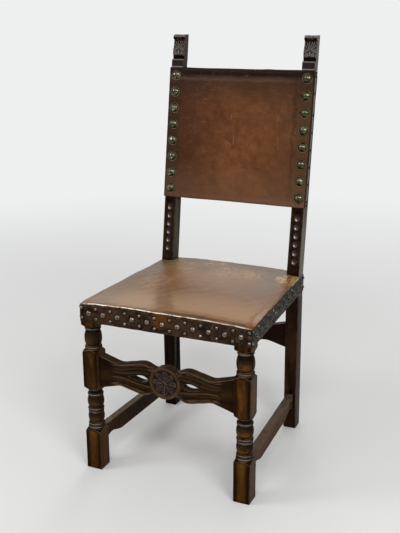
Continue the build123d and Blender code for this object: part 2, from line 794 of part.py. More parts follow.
rear_board = Plane(origin=(0, rear_stretcher_y, rear_stretcher_axis), x_dir=(1, 0, 0), z_dir=(0, -1, 0))
with BuildPart() as rear_stretcher:
    with BuildSketch(rear_board):
        with BuildLine():
            quarter_edges(post_inner_x, rear_stretcher_height / 2, rear_outline_shares)
        make_face()
        mirror(about=Plane.XZ)
        mirror(about=Plane.YZ)
    extrude(amount=-rear_stretcher_thickness)
    add(both_sides(rear_stretcher_tenon))
rear_stretcher.part.label = "rear_stretcher"

# Side stretchers, tenoned between the feet and the rear legs
with BuildPart() as side_stretcher_right:
    with BuildSketch(side_plane):
        lower_points = [
            (side_run * along, side_stretcher_height * up) for along, up in side_outline_shares
        ]
        with BuildLine():
            Spline(lower_points)
            Spline([(side_run - x, y) for x, y in lower_points])
            Line(lower_points[-1], (side_run - lower_points[-1][0], lower_points[-1][1]))
            Polyline(
                lower_points[0],
                (-tenon_length / 2, lower_points[0][1]),
                (-tenon_length / 2, side_stretcher_height),
                (side_run + tenon_length / 2, side_stretcher_height),
                (side_run + tenon_length / 2, lower_points[0][1]),
                (side_run, lower_points[0][1]),
            )
        make_face()
    extrude(amount=side_stretcher_thickness / 2, both=True)
    with BuildSketch(side_plane.offset(side_stretcher_thickness / 2)):
        for line in (1, 2):
            with Locations((side_run / 2, side_stretcher_height - side_groove_pitch * line)):
                Rectangle(side_run + 2 * tenon_length, side_groove_width)
    extrude(amount=-side_groove_depth, mode=Mode.SUBTRACT)
    add([front_leg_blank.part, rear_leg_blank.part], mode=Mode.SUBTRACT)
    add(side_stretcher_tenons.part)
side_stretcher_right.part.label = "side_stretcher_right"

with BuildPart() as side_stretcher_left:
    mirror(side_stretcher_right.part, about=Plane.YZ)
side_stretcher_left.part.label = "side_stretcher_left"

# Back rails, sheet and padding between the posts

lining_plane = post_face.offset(-hessian_thickness - back_rail_thickness - lining_thickness)
lining_nail_pitch = (2 * post_inner_x - back_rail_height) / (lining_nail_count - 1)
lining_nail_points = [
    (lining_nail_pitch * (step - (lining_nail_count - 1) / 2), place)
    for place in back_rail_places
    for step in range(lining_nail_count)
]
lining_face = Plane(origin=lining_plane.origin, x_dir=(-1, 0, 0), z_dir=-lining_plane.z_dir)
lining_nail_places = on_plane(lining_face, lining_nail_points)
lining_holes = placed(edge_hole, lining_nail_places)

back_rails = []
for name, place in zip(("back_bottom_rail", "back_top_rail"), back_rail_places):
    with BuildPart() as back_rail:
        with BuildSketch(post_face.offset(-hessian_thickness)):
            with Locations((0, place)):
                Rectangle(2 * post_inner_x, back_rail_height)
        extrude(amount=-back_rail_thickness)
        with BuildSketch(post_face.offset(-back_rail_depth)):
            with Locations((0, place)):
                Rectangle(2 * (post_inner_x + back_tenon_length), back_rail_height - 2 * tenon_shoulder)
        extrude(amount=back_tenon_thickness / 2, both=True)
        add(lining_holes, mode=Mode.SUBTRACT)
    back_rail.part.label = name
    back_rails.append(back_rail.part)

panel_middle = (panel_bottom + panel_top) / 2
rail_to_rail = panel_height - 2 * back_leather
with BuildPart() as back_hessian:
    with BuildSketch(post_face):
        with Locations((0, panel_middle)):
            Rectangle(2 * post_inner_x - 2 * soft_clearance, rail_to_rail)
    extrude(amount=-hessian_thickness)
back_hessian.part.label = "back_hessian"


def back_form(inset, reach):
    """Form of the back leather, flat over the posts and crowned between them, drawn in by inset.

    It reaches back behind the posts' faces by reach.
    """
    half_width = post_outer_x + back_leather - inset
    front = inset - back_leather
    length = panel_height - 2 * inset
    with BuildPart() as form:
        for along, share in back_crown_shares:
            section_y, section_z = on_post(panel_bottom + inset + length * along, 0)
            crown_top = front - back_crown * share
            up_the_post = (0, sin(rake), cos(rake))
            with BuildSketch(Plane(origin=(0, section_y, section_z), x_dir=(1, 0, 0), z_dir=up_the_post)):
                with BuildLine():
                    ThreePointArc((-post_inner_x, front), (0, crown_top), (post_inner_x, front))
                    Polyline(
                        (post_inner_x, front),
                        (half_width, front),
                        (half_width, reach),
                        (-half_width, reach),
                        (-half_width, front),
                        (-post_inner_x, front),
                    )
                make_face()
        loft()
    return form.part


back_outer = back_form(0, back_wrap)
back_cavity = back_form(back_leather, back_wrap + cut_overrun)
back_pad_space = back_form(back_leather + soft_clearance, back_wrap)

with BuildPart() as back_padding:
    add(back_pad_space)
    with BuildSketch(post_face):
        with Locations((0, panel_middle)):
            Rectangle(2 * post_inner_x, rail_to_rail)
    extrude(amount=2 * back_crown, mode=Mode.INTERSECT)
back_padding.part.label = "back_padding"

with BuildPart() as back_post_slots:
    with BuildSketch(post_face):
        with Locations((post_x, panel_middle), (-post_x, panel_middle)):
            Rectangle(post_width, panel_height + 2 * cut_overrun)
    extrude(amount=-back_wrap - cut_overrun)

with BuildPart() as back_leather_cover:
    add(back_outer)
    back_holes_both = [side for hole in back_holes for side in both_sides(hole)]
    add([back_cavity, back_post_slots.part] + back_holes_both, mode=Mode.SUBTRACT)
back_leather_cover.part.label = "back_leather"

with BuildPart() as back_lining:
    with BuildSketch(lining_plane):
        with Locations((0, panel_middle)):
            Rectangle(2 * post_inner_x - 2 * lining_margin, rail_to_rail - 2 * lining_margin)
    extrude(amount=lining_thickness)
    add(lining_holes, mode=Mode.SUBTRACT)
back_lining.part.label = "back_lining"

# Seat upholstery


def seat_outline(margin):
    """Plan of the seat frame, drawn in by margin."""
    low = front_y + margin
    high = post_back_y - margin
    Polyline(
        (outer_x(low) - margin, low),
        (outer_x(high) - margin, high),
        (margin - outer_x(high), high),
        (margin - outer_x(low), low),
        close=True,
    )


def seat_form(inset, bottom):
    """Crowned form of the seat leather, drawn in by inset and cut off level at bottom."""
    low = front_y - seat_leather + inset
    length = seat_depth + 2 * (seat_leather - inset)
    edge = seat_height - inset
    with BuildPart() as form:
        for along, share in seat_crown_shares:
            y = low + length * along
            half_width = outer_x(y) + seat_leather - inset
            with BuildSketch(Plane(origin=(0, y, 0), x_dir=(1, 0, 0), z_dir=(0, -1, 0))):
                with BuildLine():
                    ThreePointArc((-half_width, edge), (0, edge + seat_crown * share), (half_width, edge))
                    Polyline(
                        (half_width, edge),
                        (half_width, bottom),
                        (-half_width, bottom),
                        (-half_width, edge),
                    )
                make_face()
        loft()
    return form.part


seat_outer = seat_form(0, rail_bottom)
seat_cavity = seat_form(seat_leather, rail_bottom - cut_overrun)
stuffing_form = seat_form(seat_leather + soft_clearance, hessian_top)
post_notch = block(
    (post_inner_x - soft_clearance, post_front_y - soft_clearance, rail_bottom - cut_overrun),
    (post_outer_x + rail_thickness, post_back_y + rail_thickness, seat_height + 2 * seat_crown),
)
post_slot = block(
    (post_inner_x - soft_clearance, post_front_y - soft_clearance, frame_top),
    (post_outer_x + soft_clearance, post_back_y + 2 * soft_clearance, seat_height + 2 * seat_crown),
)

with BuildPart() as webbing_crosswise:
    with BuildSketch(Plane.XY.offset(frame_top)):
        with Locations(*[(0, y) for y in crosswise_y]):
            Rectangle(2 * seat_front_width, webbing_width)
    extrude(amount=webbing_thickness)
    with BuildSketch(Plane.XY.offset(frame_top)):
        with BuildLine():
            seat_outline(webbing_end_margin)
        make_face()
    extrude(amount=webbing_thickness, mode=Mode.INTERSECT)
    add(placed(tack_hole, side_tack_places + side_tack_places_left), mode=Mode.SUBTRACT)
webbing_crosswise.part.label = "webbing_crosswise"

# The lengthwise straps lie on the front and rear rails and step over the crosswise ones
strap_low = [
    (front_y + webbing_end_margin, frame_top),
    (front_inner_y + webbing_ramp, frame_top),
    (front_inner_y + 2 * webbing_ramp, frame_top + webbing_thickness),
    (rear_inner_y - 2 * webbing_ramp, frame_top + webbing_thickness),
    (rear_inner_y - webbing_ramp, frame_top),
    (post_back_y - webbing_end_margin, frame_top),
]
strap_high = [(y, z + webbing_thickness) for y, z in reversed(strap_low)]
with BuildPart() as webbing_lengthwise:
    for x in lengthwise_x:
        with BuildSketch(Plane.YZ.offset(x)):
            with BuildLine():
                Polyline(*strap_low, *strap_high, close=True)
            make_face()
        extrude(amount=webbing_width / 2, both=True)
    add(placed(tack_hole, rail_tack_places), mode=Mode.SUBTRACT)
webbing_lengthwise.part.label = "webbing_lengthwise"

with BuildPart() as webbing_tacks:
    add(placed(tack, rail_tack_places + side_tack_places + side_tack_places_left))
webbing_tacks.part.label = "webbing_tacks"

with BuildPart() as seat_hessian:
    with BuildSketch(Plane.XY.offset(webbing_top)):
        with BuildLine():
            seat_outline(hessian_margin)
        make_face()
    extrude(amount=hessian_thickness)
    add(both_sides(post_notch), mode=Mode.SUBTRACT)
seat_hessian.part.label = "seat_hessian"

with BuildPart() as seat_stuffing:
    add(stuffing_form)
    add(both_sides(post_notch), mode=Mode.SUBTRACT)
seat_stuffing.part.label = "seat_stuffing"

with BuildPart() as seat_leather_cover:
    add(seat_outer)
    top_edges = edges().filter_by_position(Axis.Z, seat_height - seat_arris, seat_height + seat_crown)
    fillet(top_edges, radius=seat_arris)
    side_holes = [side for hole in side_band_holes for side in both_sides(hole)]
    seat_cuts = [seat_cavity] + both_sides(post_slot) + front_band_holes + rear_band_holes + side_holes
    add(seat_cuts, mode=Mode.SUBTRACT)
seat_leather_cover.part.label = "seat_leather"

# Nails of the seat bands, the back and the lining
nail_groups = {
    "seat_front_nails_large": placed(large_nail, front_large_places),
    "seat_front_nails_small": placed(small_nail, front_small_places),
    "seat_rear_nails_large": placed(large_nail, rear_large_places),
    "seat_rear_nails_small": placed(small_nail, rear_small_places),
    "seat_side_nails_large_right": placed(large_nail, side_large_places),
    "seat_side_nails_small_right": placed(small_nail, side_small_places),
    "back_nails_right": placed(back_nail, back_nail_places),
    "back_edge_nails_right": placed(edge_nail, edge_nail_places),
    "lining_nails": placed(edge_nail, lining_nail_places),
}
nail_parts = []
for name, nails in nail_groups.items():
    with BuildPart() as nail_group:
        add(nails)
    nail_group.part.label = name
    nail_parts.append(nail_group.part)
    if name.endswith("_right"):
        with BuildPart() as mirrored_group:
            mirror(nail_group.part, about=Plane.YZ)
        mirrored_group.part.label = name.replace("_right", "_left")
        nail_parts.append(mirrored_group.part)

pieces = [
    front_leg_left.part,
    front_leg_right.part,
    rear_leg_left.part,
    rear_leg_right.part,
    seat_front_rail.part,
    seat_rear_rail.part,
    seat_side_rail_left.part,
    seat_side_rail_right.part,
    front_stretcher.part,
    rear_stretcher.part,
    side_stretcher_left.part,
    side_stretcher_right.part,
    *corner_blocks,
    corner_block_screws.part,
    *back_rails,
    back_hessian.part,
    back_padding.part,
    back_leather_cover.part,
    back_lining.part,
    webbing_crosswise.part,
    webbing_lengthwise.part,
    webbing_tacks.part,
    seat_hessian.part,
    seat_stuffing.part,
    seat_leather_cover.part,
    *nail_parts,
]
os.makedirs("parts", exist_ok=True)
for piece in pieces:
    export_step(piece, f"parts/{piece.label}.step")
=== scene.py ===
from math import atan2, cos, pi, radians, sin

import bmesh
import bpy
import numpy as np
from mathutils import Matrix, Vector

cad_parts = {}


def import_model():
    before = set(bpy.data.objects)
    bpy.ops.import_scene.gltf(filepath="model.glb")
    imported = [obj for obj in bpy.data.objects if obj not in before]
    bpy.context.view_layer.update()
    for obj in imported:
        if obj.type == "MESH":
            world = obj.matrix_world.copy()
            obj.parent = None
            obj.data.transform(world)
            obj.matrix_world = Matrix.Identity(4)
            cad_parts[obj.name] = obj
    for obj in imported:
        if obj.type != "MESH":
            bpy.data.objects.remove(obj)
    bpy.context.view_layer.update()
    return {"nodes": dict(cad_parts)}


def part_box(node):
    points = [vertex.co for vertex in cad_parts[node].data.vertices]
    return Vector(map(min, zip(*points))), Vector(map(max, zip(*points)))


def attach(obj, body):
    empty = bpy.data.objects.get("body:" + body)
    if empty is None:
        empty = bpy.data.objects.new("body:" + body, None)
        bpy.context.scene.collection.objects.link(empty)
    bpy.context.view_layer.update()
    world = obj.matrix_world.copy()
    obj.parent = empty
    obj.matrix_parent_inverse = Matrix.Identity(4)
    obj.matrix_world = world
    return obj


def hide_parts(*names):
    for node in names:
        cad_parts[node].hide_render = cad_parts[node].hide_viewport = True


# An old side chair in dark turned and carved wood, with a leather seat and back under dome-headed nails.
# Metres, +Z up, the chair faces -Y. The materials and the carvings count in millimetres.

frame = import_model()
nodes = frame["nodes"]
MM = 0.001

# Places read from the frame
leg_low, leg_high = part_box("front_leg_right")
post_low, post_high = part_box("rear_leg_right")
seat_low, seat_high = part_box("seat_leather")
strap_low, strap_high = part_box("webbing_lengthwise")
sheet_low, sheet_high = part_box("back_hessian")
cover_low, cover_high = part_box("back_leather")
board_low, board_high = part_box("front_stretcher")
side_board_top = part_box("side_stretcher_right")[1].z
hessian_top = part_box("seat_hessian")[1].z
crosswise_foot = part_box("webbing_crosswise")[0].z
lining_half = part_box("back_lining")[1].x
front_rail_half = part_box("seat_front_rail")[1].x
frame_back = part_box("seat_rear_rail")[1].y
top_rail_middle = sum(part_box("back_top_rail"), Vector()) / 2
bottom_rail_middle = sum(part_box("back_bottom_rail"), Vector()) / 2
rake = atan2(top_rail_middle.y - bottom_rail_middle.y, top_rail_middle.z - bottom_rail_middle.z)

# Sizes of the covers
seat_leather = 2.0 * MM
seat_edge_height = 470.0 * MM
seat_arris = 5.0 * MM
seat_crown = seat_high.z - seat_edge_height
back_leather = 2.6 * MM
back_wrap = 20.0 * MM
back_crown = 6.0 * MM
sheet_thickness = 1.0 * MM

# The posts' front face: X to the right, Y up along the post, Z out of the face, from the cover's lower edge
face_axes = Matrix(((1, 0, 0), (0, sin(rake), -cos(rake)), (0, cos(rake), sin(rake))))
sheet_foot = sheet_low.z + sheet_thickness * sin(rake)
face_origin = Vector((0, sheet_low.y, sheet_foot)) - face_axes.col[1] * back_leather
panel_height = (sheet_high.z - sheet_foot) / cos(rake) + 2 * back_leather


def from_face(points):
    """Points on the posts' face, in the chair's frame."""
    return np.asarray(points) @ np.array(face_axes).T + np.array(face_origin)


def to_face(points):
    """Points of the chair's frame, on the posts' face."""
    return (np.asarray(points) - np.array(face_origin)) @ np.array(face_axes)


# Meshes


def new_object(name, data):
    """Object in the scene."""
    obj = bpy.data.objects.new(name, data)
    bpy.context.scene.collection.objects.link(obj)
    return obj


def smooth(obj, angle=40.0):
    """Smooth shading up to an angle in degrees."""
    obj.data.shade_smooth()
    obj.data.set_sharp_from_angle(angle=radians(angle))


def make_object(name, vertices, faces):
    """Mesh object with smooth shading."""
    mesh = bpy.data.meshes.new(name)
    mesh.from_pydata([tuple(v) for v in vertices], [], [tuple(f) for f in faces])
    mesh.validate()
    mesh.update()
    obj = new_object(name, mesh)
    smooth(obj)
    return obj


def modify(obj, kind, **settings):
    """Puts the result of a modifier into an object's mesh."""
    modifier = obj.modifiers.new("change", kind)
    for name, value in settings.items():
        setattr(modifier, name, value)
    graph = bpy.context.evaluated_depsgraph_get()
    mesh = bpy.data.meshes.new_from_object(obj.evaluated_get(graph))
    obj.modifiers.clear()
    obj.data = mesh
    smooth(obj)


def solidify(obj, thickness):
    """Thickens a sheet towards its inner side."""
    modify(obj, "SOLIDIFY", thickness=thickness, offset=-1.0, use_even_offset=True)


def combine(obj, other, operation):
    """Takes one closed mesh out of another (DIFFERENCE) or unites them (UNION)."""
    modify(obj, "BOOLEAN", operation=operation, solver="EXACT", object=other)
    bpy.data.objects.remove(other)


def cut_post_slots(cover, inner, outer, low, high):
    """Cuts a slot for each post between two distances from the middle; low and high are places (y, z)."""
    faces = [(0, 1, 3, 2), (4, 6, 7, 5), (0, 4, 5, 1), (2, 3, 7, 6), (0, 2, 6, 4), (1, 5, 7, 3)]
    for side in (-1, 1):
        xs = sorted((side * inner, side * outer))
        corners = [(x, y, z) for x in xs for y in (low[0], high[0]) for z in (low[1], high[1])]
        combine(cover, make_object("post_slot", corners, faces), "DIFFERENCE")


def dress(obj, material):
    """Gives a new piece its material and its body."""
    obj.data.materials.clear()
    obj.data.materials.append(material)
    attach(obj, "root")


def grid_points(columns, rows):
    """Both coordinates of a grid's points, which run up each column in turn."""
    return (grid.ravel() for grid in np.meshgrid(columns, rows, indexing="ij"))


def grid_faces(columns, rows):
    """Faces over a grid with so many columns and rows of points."""
    return [
        (i * rows + j, (i + 1) * rows + j, (i + 1) * rows + j + 1, i * rows + j + 1)
        for i in range(columns - 1)
        for j in range(rows - 1)
    ]


def slab_faces(columns, rows):
    """Faces of a closed slab: a grid at its front, another one at its back, and walls round them."""
    total = columns * rows
    front = grid_faces(columns, rows)
    faces = front + [tuple(total + face[k] for k in (0, 3, 2, 1)) for face in front]
    sides = [(0, rows, columns), (total - 1, -rows, columns), (rows - 1, -1, rows), (total - rows, 1, rows)]
    for first, run, count in sides:
        for k in range(count - 1):
            corner = first + k * run
            faces.append((corner, total + corner, total + corner + run, corner + run))
    return faces


def round_steps(radius):
    """Distances along a face at which an edge rounded with this radius is divided."""
    return radius * np.tan(np.linspace(0, pi / 4, 5))


def lines(half, radius, step):
    """Grid lines across a face: even ones, with closer ones where its two edges are rounded."""
    flat = half - radius
    middle = np.linspace(-flat, flat, max(2, round(2 * flat / step)) + 1)
    turn = round_steps(radius)[1:]
    return np.concatenate([-(flat + turn[::-1]), middle, flat + turn])


def open_box(half_x, half_y, depth, radius, step):
    """Lid and sides of a box with rounded edges: vertices, their outward directions, and faces.

    The lid lies at z = 0 and the sides end at z = -depth.
    """
    xs = lines(half_x, radius, step)
    ys = lines(half_y, radius, step)
    rows = max(2, round((depth - radius) / step))
    straight = np.linspace(-radius, -depth, rows + 1)[1:]
    downs = np.concatenate([round_steps(radius)[-2::-1] - radius, straight])
    nx, ny = len(xs), len(ys)
    x, y = grid_points(xs, ys)
    points = [np.stack([x, y, np.zeros(nx * ny)], 1)]
    faces = grid_faces(nx, ny)
    ring = [i * ny for i in range(nx)]
    ring += [(nx - 1) * ny + j for j in range(1, ny)]
    ring += [i * ny + ny - 1 for i in range(nx - 2, -1, -1)]
    ring += list(range(ny - 2, 0, -1))
    rim = points[0][ring]
    above, count = ring, len(ring)
    for k, down in enumerate(downs):
        row = rim.copy()
        row[:, 2] = down
        points.append(row)
        below = [nx * ny + k * count + i for i in range(count)]
        faces += [(above[i], below[i], below[(i + 1) % count], above[(i + 1) % count]) for i in range(count)]
        above = below
    points = np.concatenate(points)
    inner = points.copy()
    inner[:, 0] = np.clip(inner[:, 0], radius - half_x, half_x - radius)
    inner[:, 1] = np.clip(inner[:, 1], radius - half_y, half_y - radius)
    inner[:, 2] = np.minimum(inner[:, 2], -radius)
    out = points - inner
    out /= np.linalg.norm(out, axis=1)[:, None]
    return inner + out * radius, out, faces


def waves(points, wavelength, seed, count=12):
    """Smooth uneven height over points, about -1 to 1, from a few plane waves."""
    draw = np.random.default_rng(seed)
    total = np.zeros(len(points))
    for _ in range(count):
        direction = draw.normal(size=points.shape[1])
        direction /= np.linalg.norm(direction)
        length = wavelength * draw.uniform(0.7, 1.6)
        total += np.sin(points @ direction * 2 * pi / length + draw.uniform(0, 2 * pi))
    return total / np.sqrt(count)


def step_up(x, low, high):
    """Smooth rise from 0 at low to 1 at high."""
    t = np.clip((x - low) / (high - low), 0, 1)
    return t * t * (3 - 2 * t)


def ridge(x, middle, width):
    """Smooth bump of height 1."""
    return np.exp(-(((x - middle) / width) ** 2))


def dome(x, radius):
    """Half round of height 1 over its middle, and 0 beyond its radius."""
    return np.sqrt(np.clip(1 - (x / radius) ** 2, 0, 1))


def curve_through(points, at):
    """Smooth curve through points in order of rising x, read at some places."""
    xs, ys = (np.array(column, float) for column in zip(*points))
    slopes = np.gradient(ys, xs)
    index = np.clip(np.searchsorted(xs, at) - 1, 0, len(xs) - 2)
    span = xs[index + 1] - xs[index]
    t = np.clip((at - xs[index]) / span, 0, 1)
    low = (1 + 2 * t) * (1 - t) ** 2 * ys[index] + t * (1 - t) ** 2 * span * slopes[index]
    return low + t * t * (3 - 2 * t) * ys[index + 1] + t * t * (t - 1) * span * slopes[index + 1]


def nearest(points, targets):
    """Distance from each point to the nearest target."""
    return np.min([np.linalg.norm(points - target, axis=1) for target in targets], axis=0)


def point_places(obj):
    """Places of a mesh's points, one row each."""
    places = np.empty(3 * len(obj.data.vertices), np.float32)
    obj.data.vertices.foreach_get("co", places)
    return places.reshape(-1, 3).astype(float)


def keep_values(obj, name, values):
    """Keeps a number with each point of a mesh, for its material."""
    layer = obj.data.attributes.new(name, "FLOAT", "POINT")
    layer.data.foreach_set("value", values.astype(np.float32))


def keep_crests(obj, surface, x, y, carved, reach, full, lift):
    """Keeps how far each point of a carved face stands above what is round it: -1 in grooves, 1 on ridges; the
    material paints highlights on the ridges and shade in the grooves from it.

    Where the lift is below 0, the face gets more painted shade than its shape alone would give it.
    """
    turns = np.linspace(0, 2 * pi, 9)[:-1]
    around = sum(surface(x + reach * np.cos(turn), y + reach * np.sin(turn)) for turn in turns) / len(turns)
    keep_values(obj, "crest_light", np.where(carved, np.clip((surface(x, y) - around) / full + lift, -1, 1), 0))


def keep_gaps(obj, nails):
    """Keeps each point's distance in millimetres from the rim of the nearest nail, a place with a radius."""
    points = point_places(obj)
    gaps = [np.linalg.norm(points - place, axis=1) - radius for place, radius in nails]
    keep_values(obj, "gap", np.min(gaps, axis=0) / MM)


def nail_places(node, reach):
    """Middle of each nail of a group, whose points are all within reach (in millimetres) of one another."""
    points = point_places(nodes[node])
    places = []
    while len(points):
        near = np.linalg.norm(points - points[0], axis=1) < reach * MM
        places.append((points[near].min(0) + points[near].max(0)) / 2)
        points = points[~near]
    return places


# Materials

BLACK = (0.0035, 0.002, 0.0012)
DEEP = (0.009, 0.0052, 0.0026)
WHITE = (1, 1, 1)


def darker(colour, share):
    """A colour's share of brightness."""
    return tuple(share * part for part in colour)


class Value:
    """Output of a node, to reckon with."""

    def __init__(self, nodes, socket):
        self.nodes, self.socket = nodes, socket

    def maths(self, operation, other=0.0):
        return self.nodes.node("Math", {0: self, 1: other}, operation=operation)

    def __add__(self, other):
        return self.maths("ADD", other)

    def __sub__(self, other):
        return self.maths("SUBTRACT", other)

    def __rsub__(self, other):
        return self * -1.0 + other

    def __mul__(self, other):
        return self.maths("MULTIPLY", other)

    def __truediv__(self, number):
        return self * (1 / number)

    def __abs__(self):
        return self.maths("ABSOLUTE")

    __radd__ = __add__

    def most(self, other):
        """The greater one of two values."""
        return self.maths("MAXIMUM", other)

    def span(self, low, high, to_low=0.0, to_high=1.0):
        """Smooth change from one number at low to another one at high."""
        inputs = {"Value": self, "From Min": low, "From Max": high, "To Min": to_low, "To Max": to_high}
        return self.nodes.node("MapRange", inputs, interpolation_type="SMOOTHSTEP")

    def between(self, start, full, less, end):
        """1 between full and less, fading to 0 at start and end."""
        return self.span(start, full) * self.span(end, less)


class Nodes:
    """A node tree whose nodes are made by short calls."""

    def __init__(self, tree):
        self.tree = tree

    def node(self, kind, inputs=None, output=0, **settings):
        """Output of a new node, with its inputs set or linked."""
        made = self.tree.nodes.new("ShaderNode" + kind)
        for name, value in settings.items():
            setattr(made, name, value)
        for name, value in (inputs or {}).items():
            self.put(made.inputs[name], value)
        return Value(self, made.outputs[output])

    def put(self, socket, value):
        if isinstance(value, Value):
            self.tree.links.new(value.socket, socket)
        elif socket.type == "RGBA":
            socket.default_value = (*value, 1)
        else:
            socket.default_value = value


class Shader(Nodes):
    """A material, with the colour that it has so far. Lengths are in millimetres, noise scales per metre."""

    def __init__(self, name):
        self.material = bpy.data.materials.new(name)
        self.material.use_nodes = True
        super().__init__(self.material.node_tree)
        self.surface = self.tree.nodes["Principled BSDF"]
        self.place = self.node("TexCoord", output="Object")
        self.colour = WHITE

    def finish(self, **values):
        """Sets the surface's own inputs and gives the material."""
        for name, value in values.items():
            self.put(self.surface.inputs[name.replace("_", " ")], value)
        self.put(self.surface.inputs["Base Color"], self.colour)
        return self.material

    def mapped(self, scale=(1, 1, 1), turn=(0, 0, 0), move=(0, 0, 0)):
        inputs = {"Vector": self.place, "Scale": scale, "Rotation": turn, "Location": move}
        return self.node("Mapping", inputs)

    def noise(self, scale, place=None, detail=3.0, roughness=0.5, distortion=0.0, output="Fac"):
        inputs = {
            "Vector": place or self.place,
            "Scale": scale,
            "Detail": detail,
            "Roughness": roughness,
            "Distortion": distortion,
        }
        return self.node("TexNoise", inputs, output)

    def ramp(self, value, *stops):
        """Colours along a value, which become the material's."""
        made = self.node("ValToRGB", {"Fac": value})
        elements = made.socket.node.color_ramp.elements
        while len(elements) < len(stops):
            elements.new(0.5)
        for element, (position, colour) in zip(elements, stops):
            element.position = position
            element.color = (*colour, 1)
        return made

    def mix(self, share, first, second):
        return self.node("Mix", {0: share, 6: first, 7: second}, 2, data_type="RGBA")

    def over(self, share, strength, tint):
        """Lays another colour over the material's."""
        self.colour = self.mix(share * strength, self.colour, tint)

    def bump(self, height, distance, strength, relief=None):
        inputs = {"Height": height, "Distance": distance * MM, "Strength": strength}
        if relief:
            inputs["Normal"] = relief
        return self.node("Bump", inputs)

    def vector(self, operation, first, second, output="Value"):
        return self.node("VectorMath", {0: first, 1: second}, output, operation=operation)

    def along(self, axis):
        """Place along an axis of the chair."""
        return self.node("SeparateXYZ", {"Vector": self.place}, axis) / MM

    def on_face(self, k):
        """Place up the posts' face from the back's lower edge (1), or out of that face (2)."""
        axis = face_axes.col[k]
        return (self.vector("DOT_PRODUCT", self.place, axis) - face_origin.dot(axis)) / MM

    def facing(self, direction, low, high):
        """Rises with the share of the surface's direction that points along this one."""
        normal = self.node("TexCoord", output="Normal")
        return self.vector("DOT_PRODUCT", normal, direction).span(low, high)

    def kept(self, name):
        """Number that the mesh keeps for each of its points."""
        return self.node("Attribute", output="Fac", attribute_name=name)

    def worn_edges(self, radius, low, high):
        """1 along the sharp edges of a piece and 0 on its faces."""
        rounded = self.node("Bevel", {"Radius": radius * MM}, samples=6)
        flat = self.node("NewGeometry", output="Normal")
        return (1.0 - self.vector("DOT_PRODUCT", rounded, flat)).span(low, high)

    def hollows(self, distance, low, high):
        """1 in hollows and corners and 0 on open faces."""
        shade = self.node("AmbientOcclusion", {"Distance": distance * MM}, "AO", samples=8)
        return shade.span(low, high, 1.0, 0.0)

    def spot(self, centre, radius, rim, ragged):
        """1 inside a ragged round patch and 0 outside it."""
        apart = self.vector("DISTANCE", self.place, Vector(centre) * MM) / MM
        return (apart + ragged).span(radius, radius - rim)


def grain_place(shader, axis, shrink, turn, move):
    """Place for the noise of wood whose grain runs along an axis."""
    return shader.mapped([shrink if other == axis else 1.0 for other in "XYZ"], (turn, 0, 0), move)


def rub_faces(shader, core, figure, darkest, move):
    """Stain rubbed off down the middle of an upright block's faces, and darker beside it towards the edges;
    core is its axis.
    """
    beside = [abs(shader.along(axis) - place) for axis, place in zip("XY", core)]
    beside = beside[0].maths("MINIMUM", beside[1]) + figure * 6
    tall = shader.mapped((1, 1, 0.3), (0, 0, 0), (move, 0, move))
    rubbed = beside.span(17, 6) * shader.noise(24, tall, 3, 0.6).span(0.42, 0.6)
    rubbed = rubbed * shader.along("Z").span(60, 140, 0.3, 1.0)
    shader.over(rubbed, 0.6, (0.2, 0.075, 0.01))
    shader.over(beside.span(12, 21), 0.8, darkest)


def wood(name, grain, stain, move, turn=0.0, worn=(0.2, 0.12, 0.065), core=None, crest_light=None, paint=None,
         shine=0.02):
    """Waxed old wood with its grain along one axis, worn pale edges and dirt in the hollows.

    With a crest light colour, the ridges of a carved face take that colour as painted highlights and its
    grooves are painted black as shade.
    A paint function lays the colours of turned or carved parts over the rest.
    """
    shader = Shader(name)
    dark, middle, light = stain
    darkest = darker(dark, 0.25)
    place = grain_place(shader, grain, 0.07, turn, (move, move * 0.7, move * 1.3))
    figure = shader.noise(26, place, 5, 0.55, 0.6)
    fibre = shader.noise(240, place, 4, 0.6)
    pores = shader.noise(900, place, 2, 0.5)
    cloud = shader.noise(11, shader.mapped(move=(move, 0, 0)), 4, 0.6)
    tone = figure * 0.45 + cloud * 0.35 + fibre * 0.22
    shader.colour = shader.ramp(tone, (0.38, dark), (0.52, middle), (0.66, light))
    if core:
        rub_faces(shader, core, figure, darkest, move)
    shader.over(pores.span(0.56, 0.7), 0.6, darkest)
    if crest_light:
        # Painted highlights on the carved ridges and painted shade, near black, in the grooves
        front = shader.facing((0, -1, 0), 0.05, 0.3)
        shader.over(shader.kept("crest_light").span(0.1, 0.8) * front, 0.8, crest_light)
        shader.over(shader.kept("crest_light").span(-0.06, -0.5) * front, 0.93, BLACK)
    # Dirt and painted shade, near black, in hollows, corners and grooves
    shader.over(shader.hollows(13, 0.4, 0.92).most(shader.hollows(4, 0.55, 0.96)), 0.92, BLACK)
    patches = shader.noise(34, None, 5, 0.65).span(0.34, 0.62)
    if paint:
        paint(shader, patches)
    shader.over(shader.worn_edges(2.8, 0.012, 0.085) * patches, 0.9, worn)
    scratches = shader.noise(500, shader.mapped((0.08, 1, 1), (0.3, 0.5, 0.9)), 1, 0.4).span(0.66, 0.72)
    dents = shader.bump(shader.noise(60, None, 3, 0.5), 0.8, 0.25)
    relief = shader.bump(fibre * 0.7 - pores * 0.5 - scratches * 0.5, 0.2, 0.4, dents)
    rough = cloud.span(0.3, 0.75, 0.18, 0.36)
    return shader.finish(Roughness=rough, Normal=relief, Specular_IOR_Level=shine)


# The turned lengths of the front legs, between blocks, as heights of their ends
FOOT_BLOCK, STRETCHER_BLOCK, HEAD_BLOCK = 112, 105, 56
LOWER_SHARE = 30 / 47
leg_top = leg_high.z / MM
turned_total = leg_top - FOOT_BLOCK - STRETCHER_BLOCK - HEAD_BLOCK
lower_end = FOOT_BLOCK + turned_total * LOWER_SHARE
TURNED_LENGTHS = [(FOOT_BLOCK, lower_end), (lower_end + STRETCHER_BLOCK, leg_top - HEAD_BLOCK)]
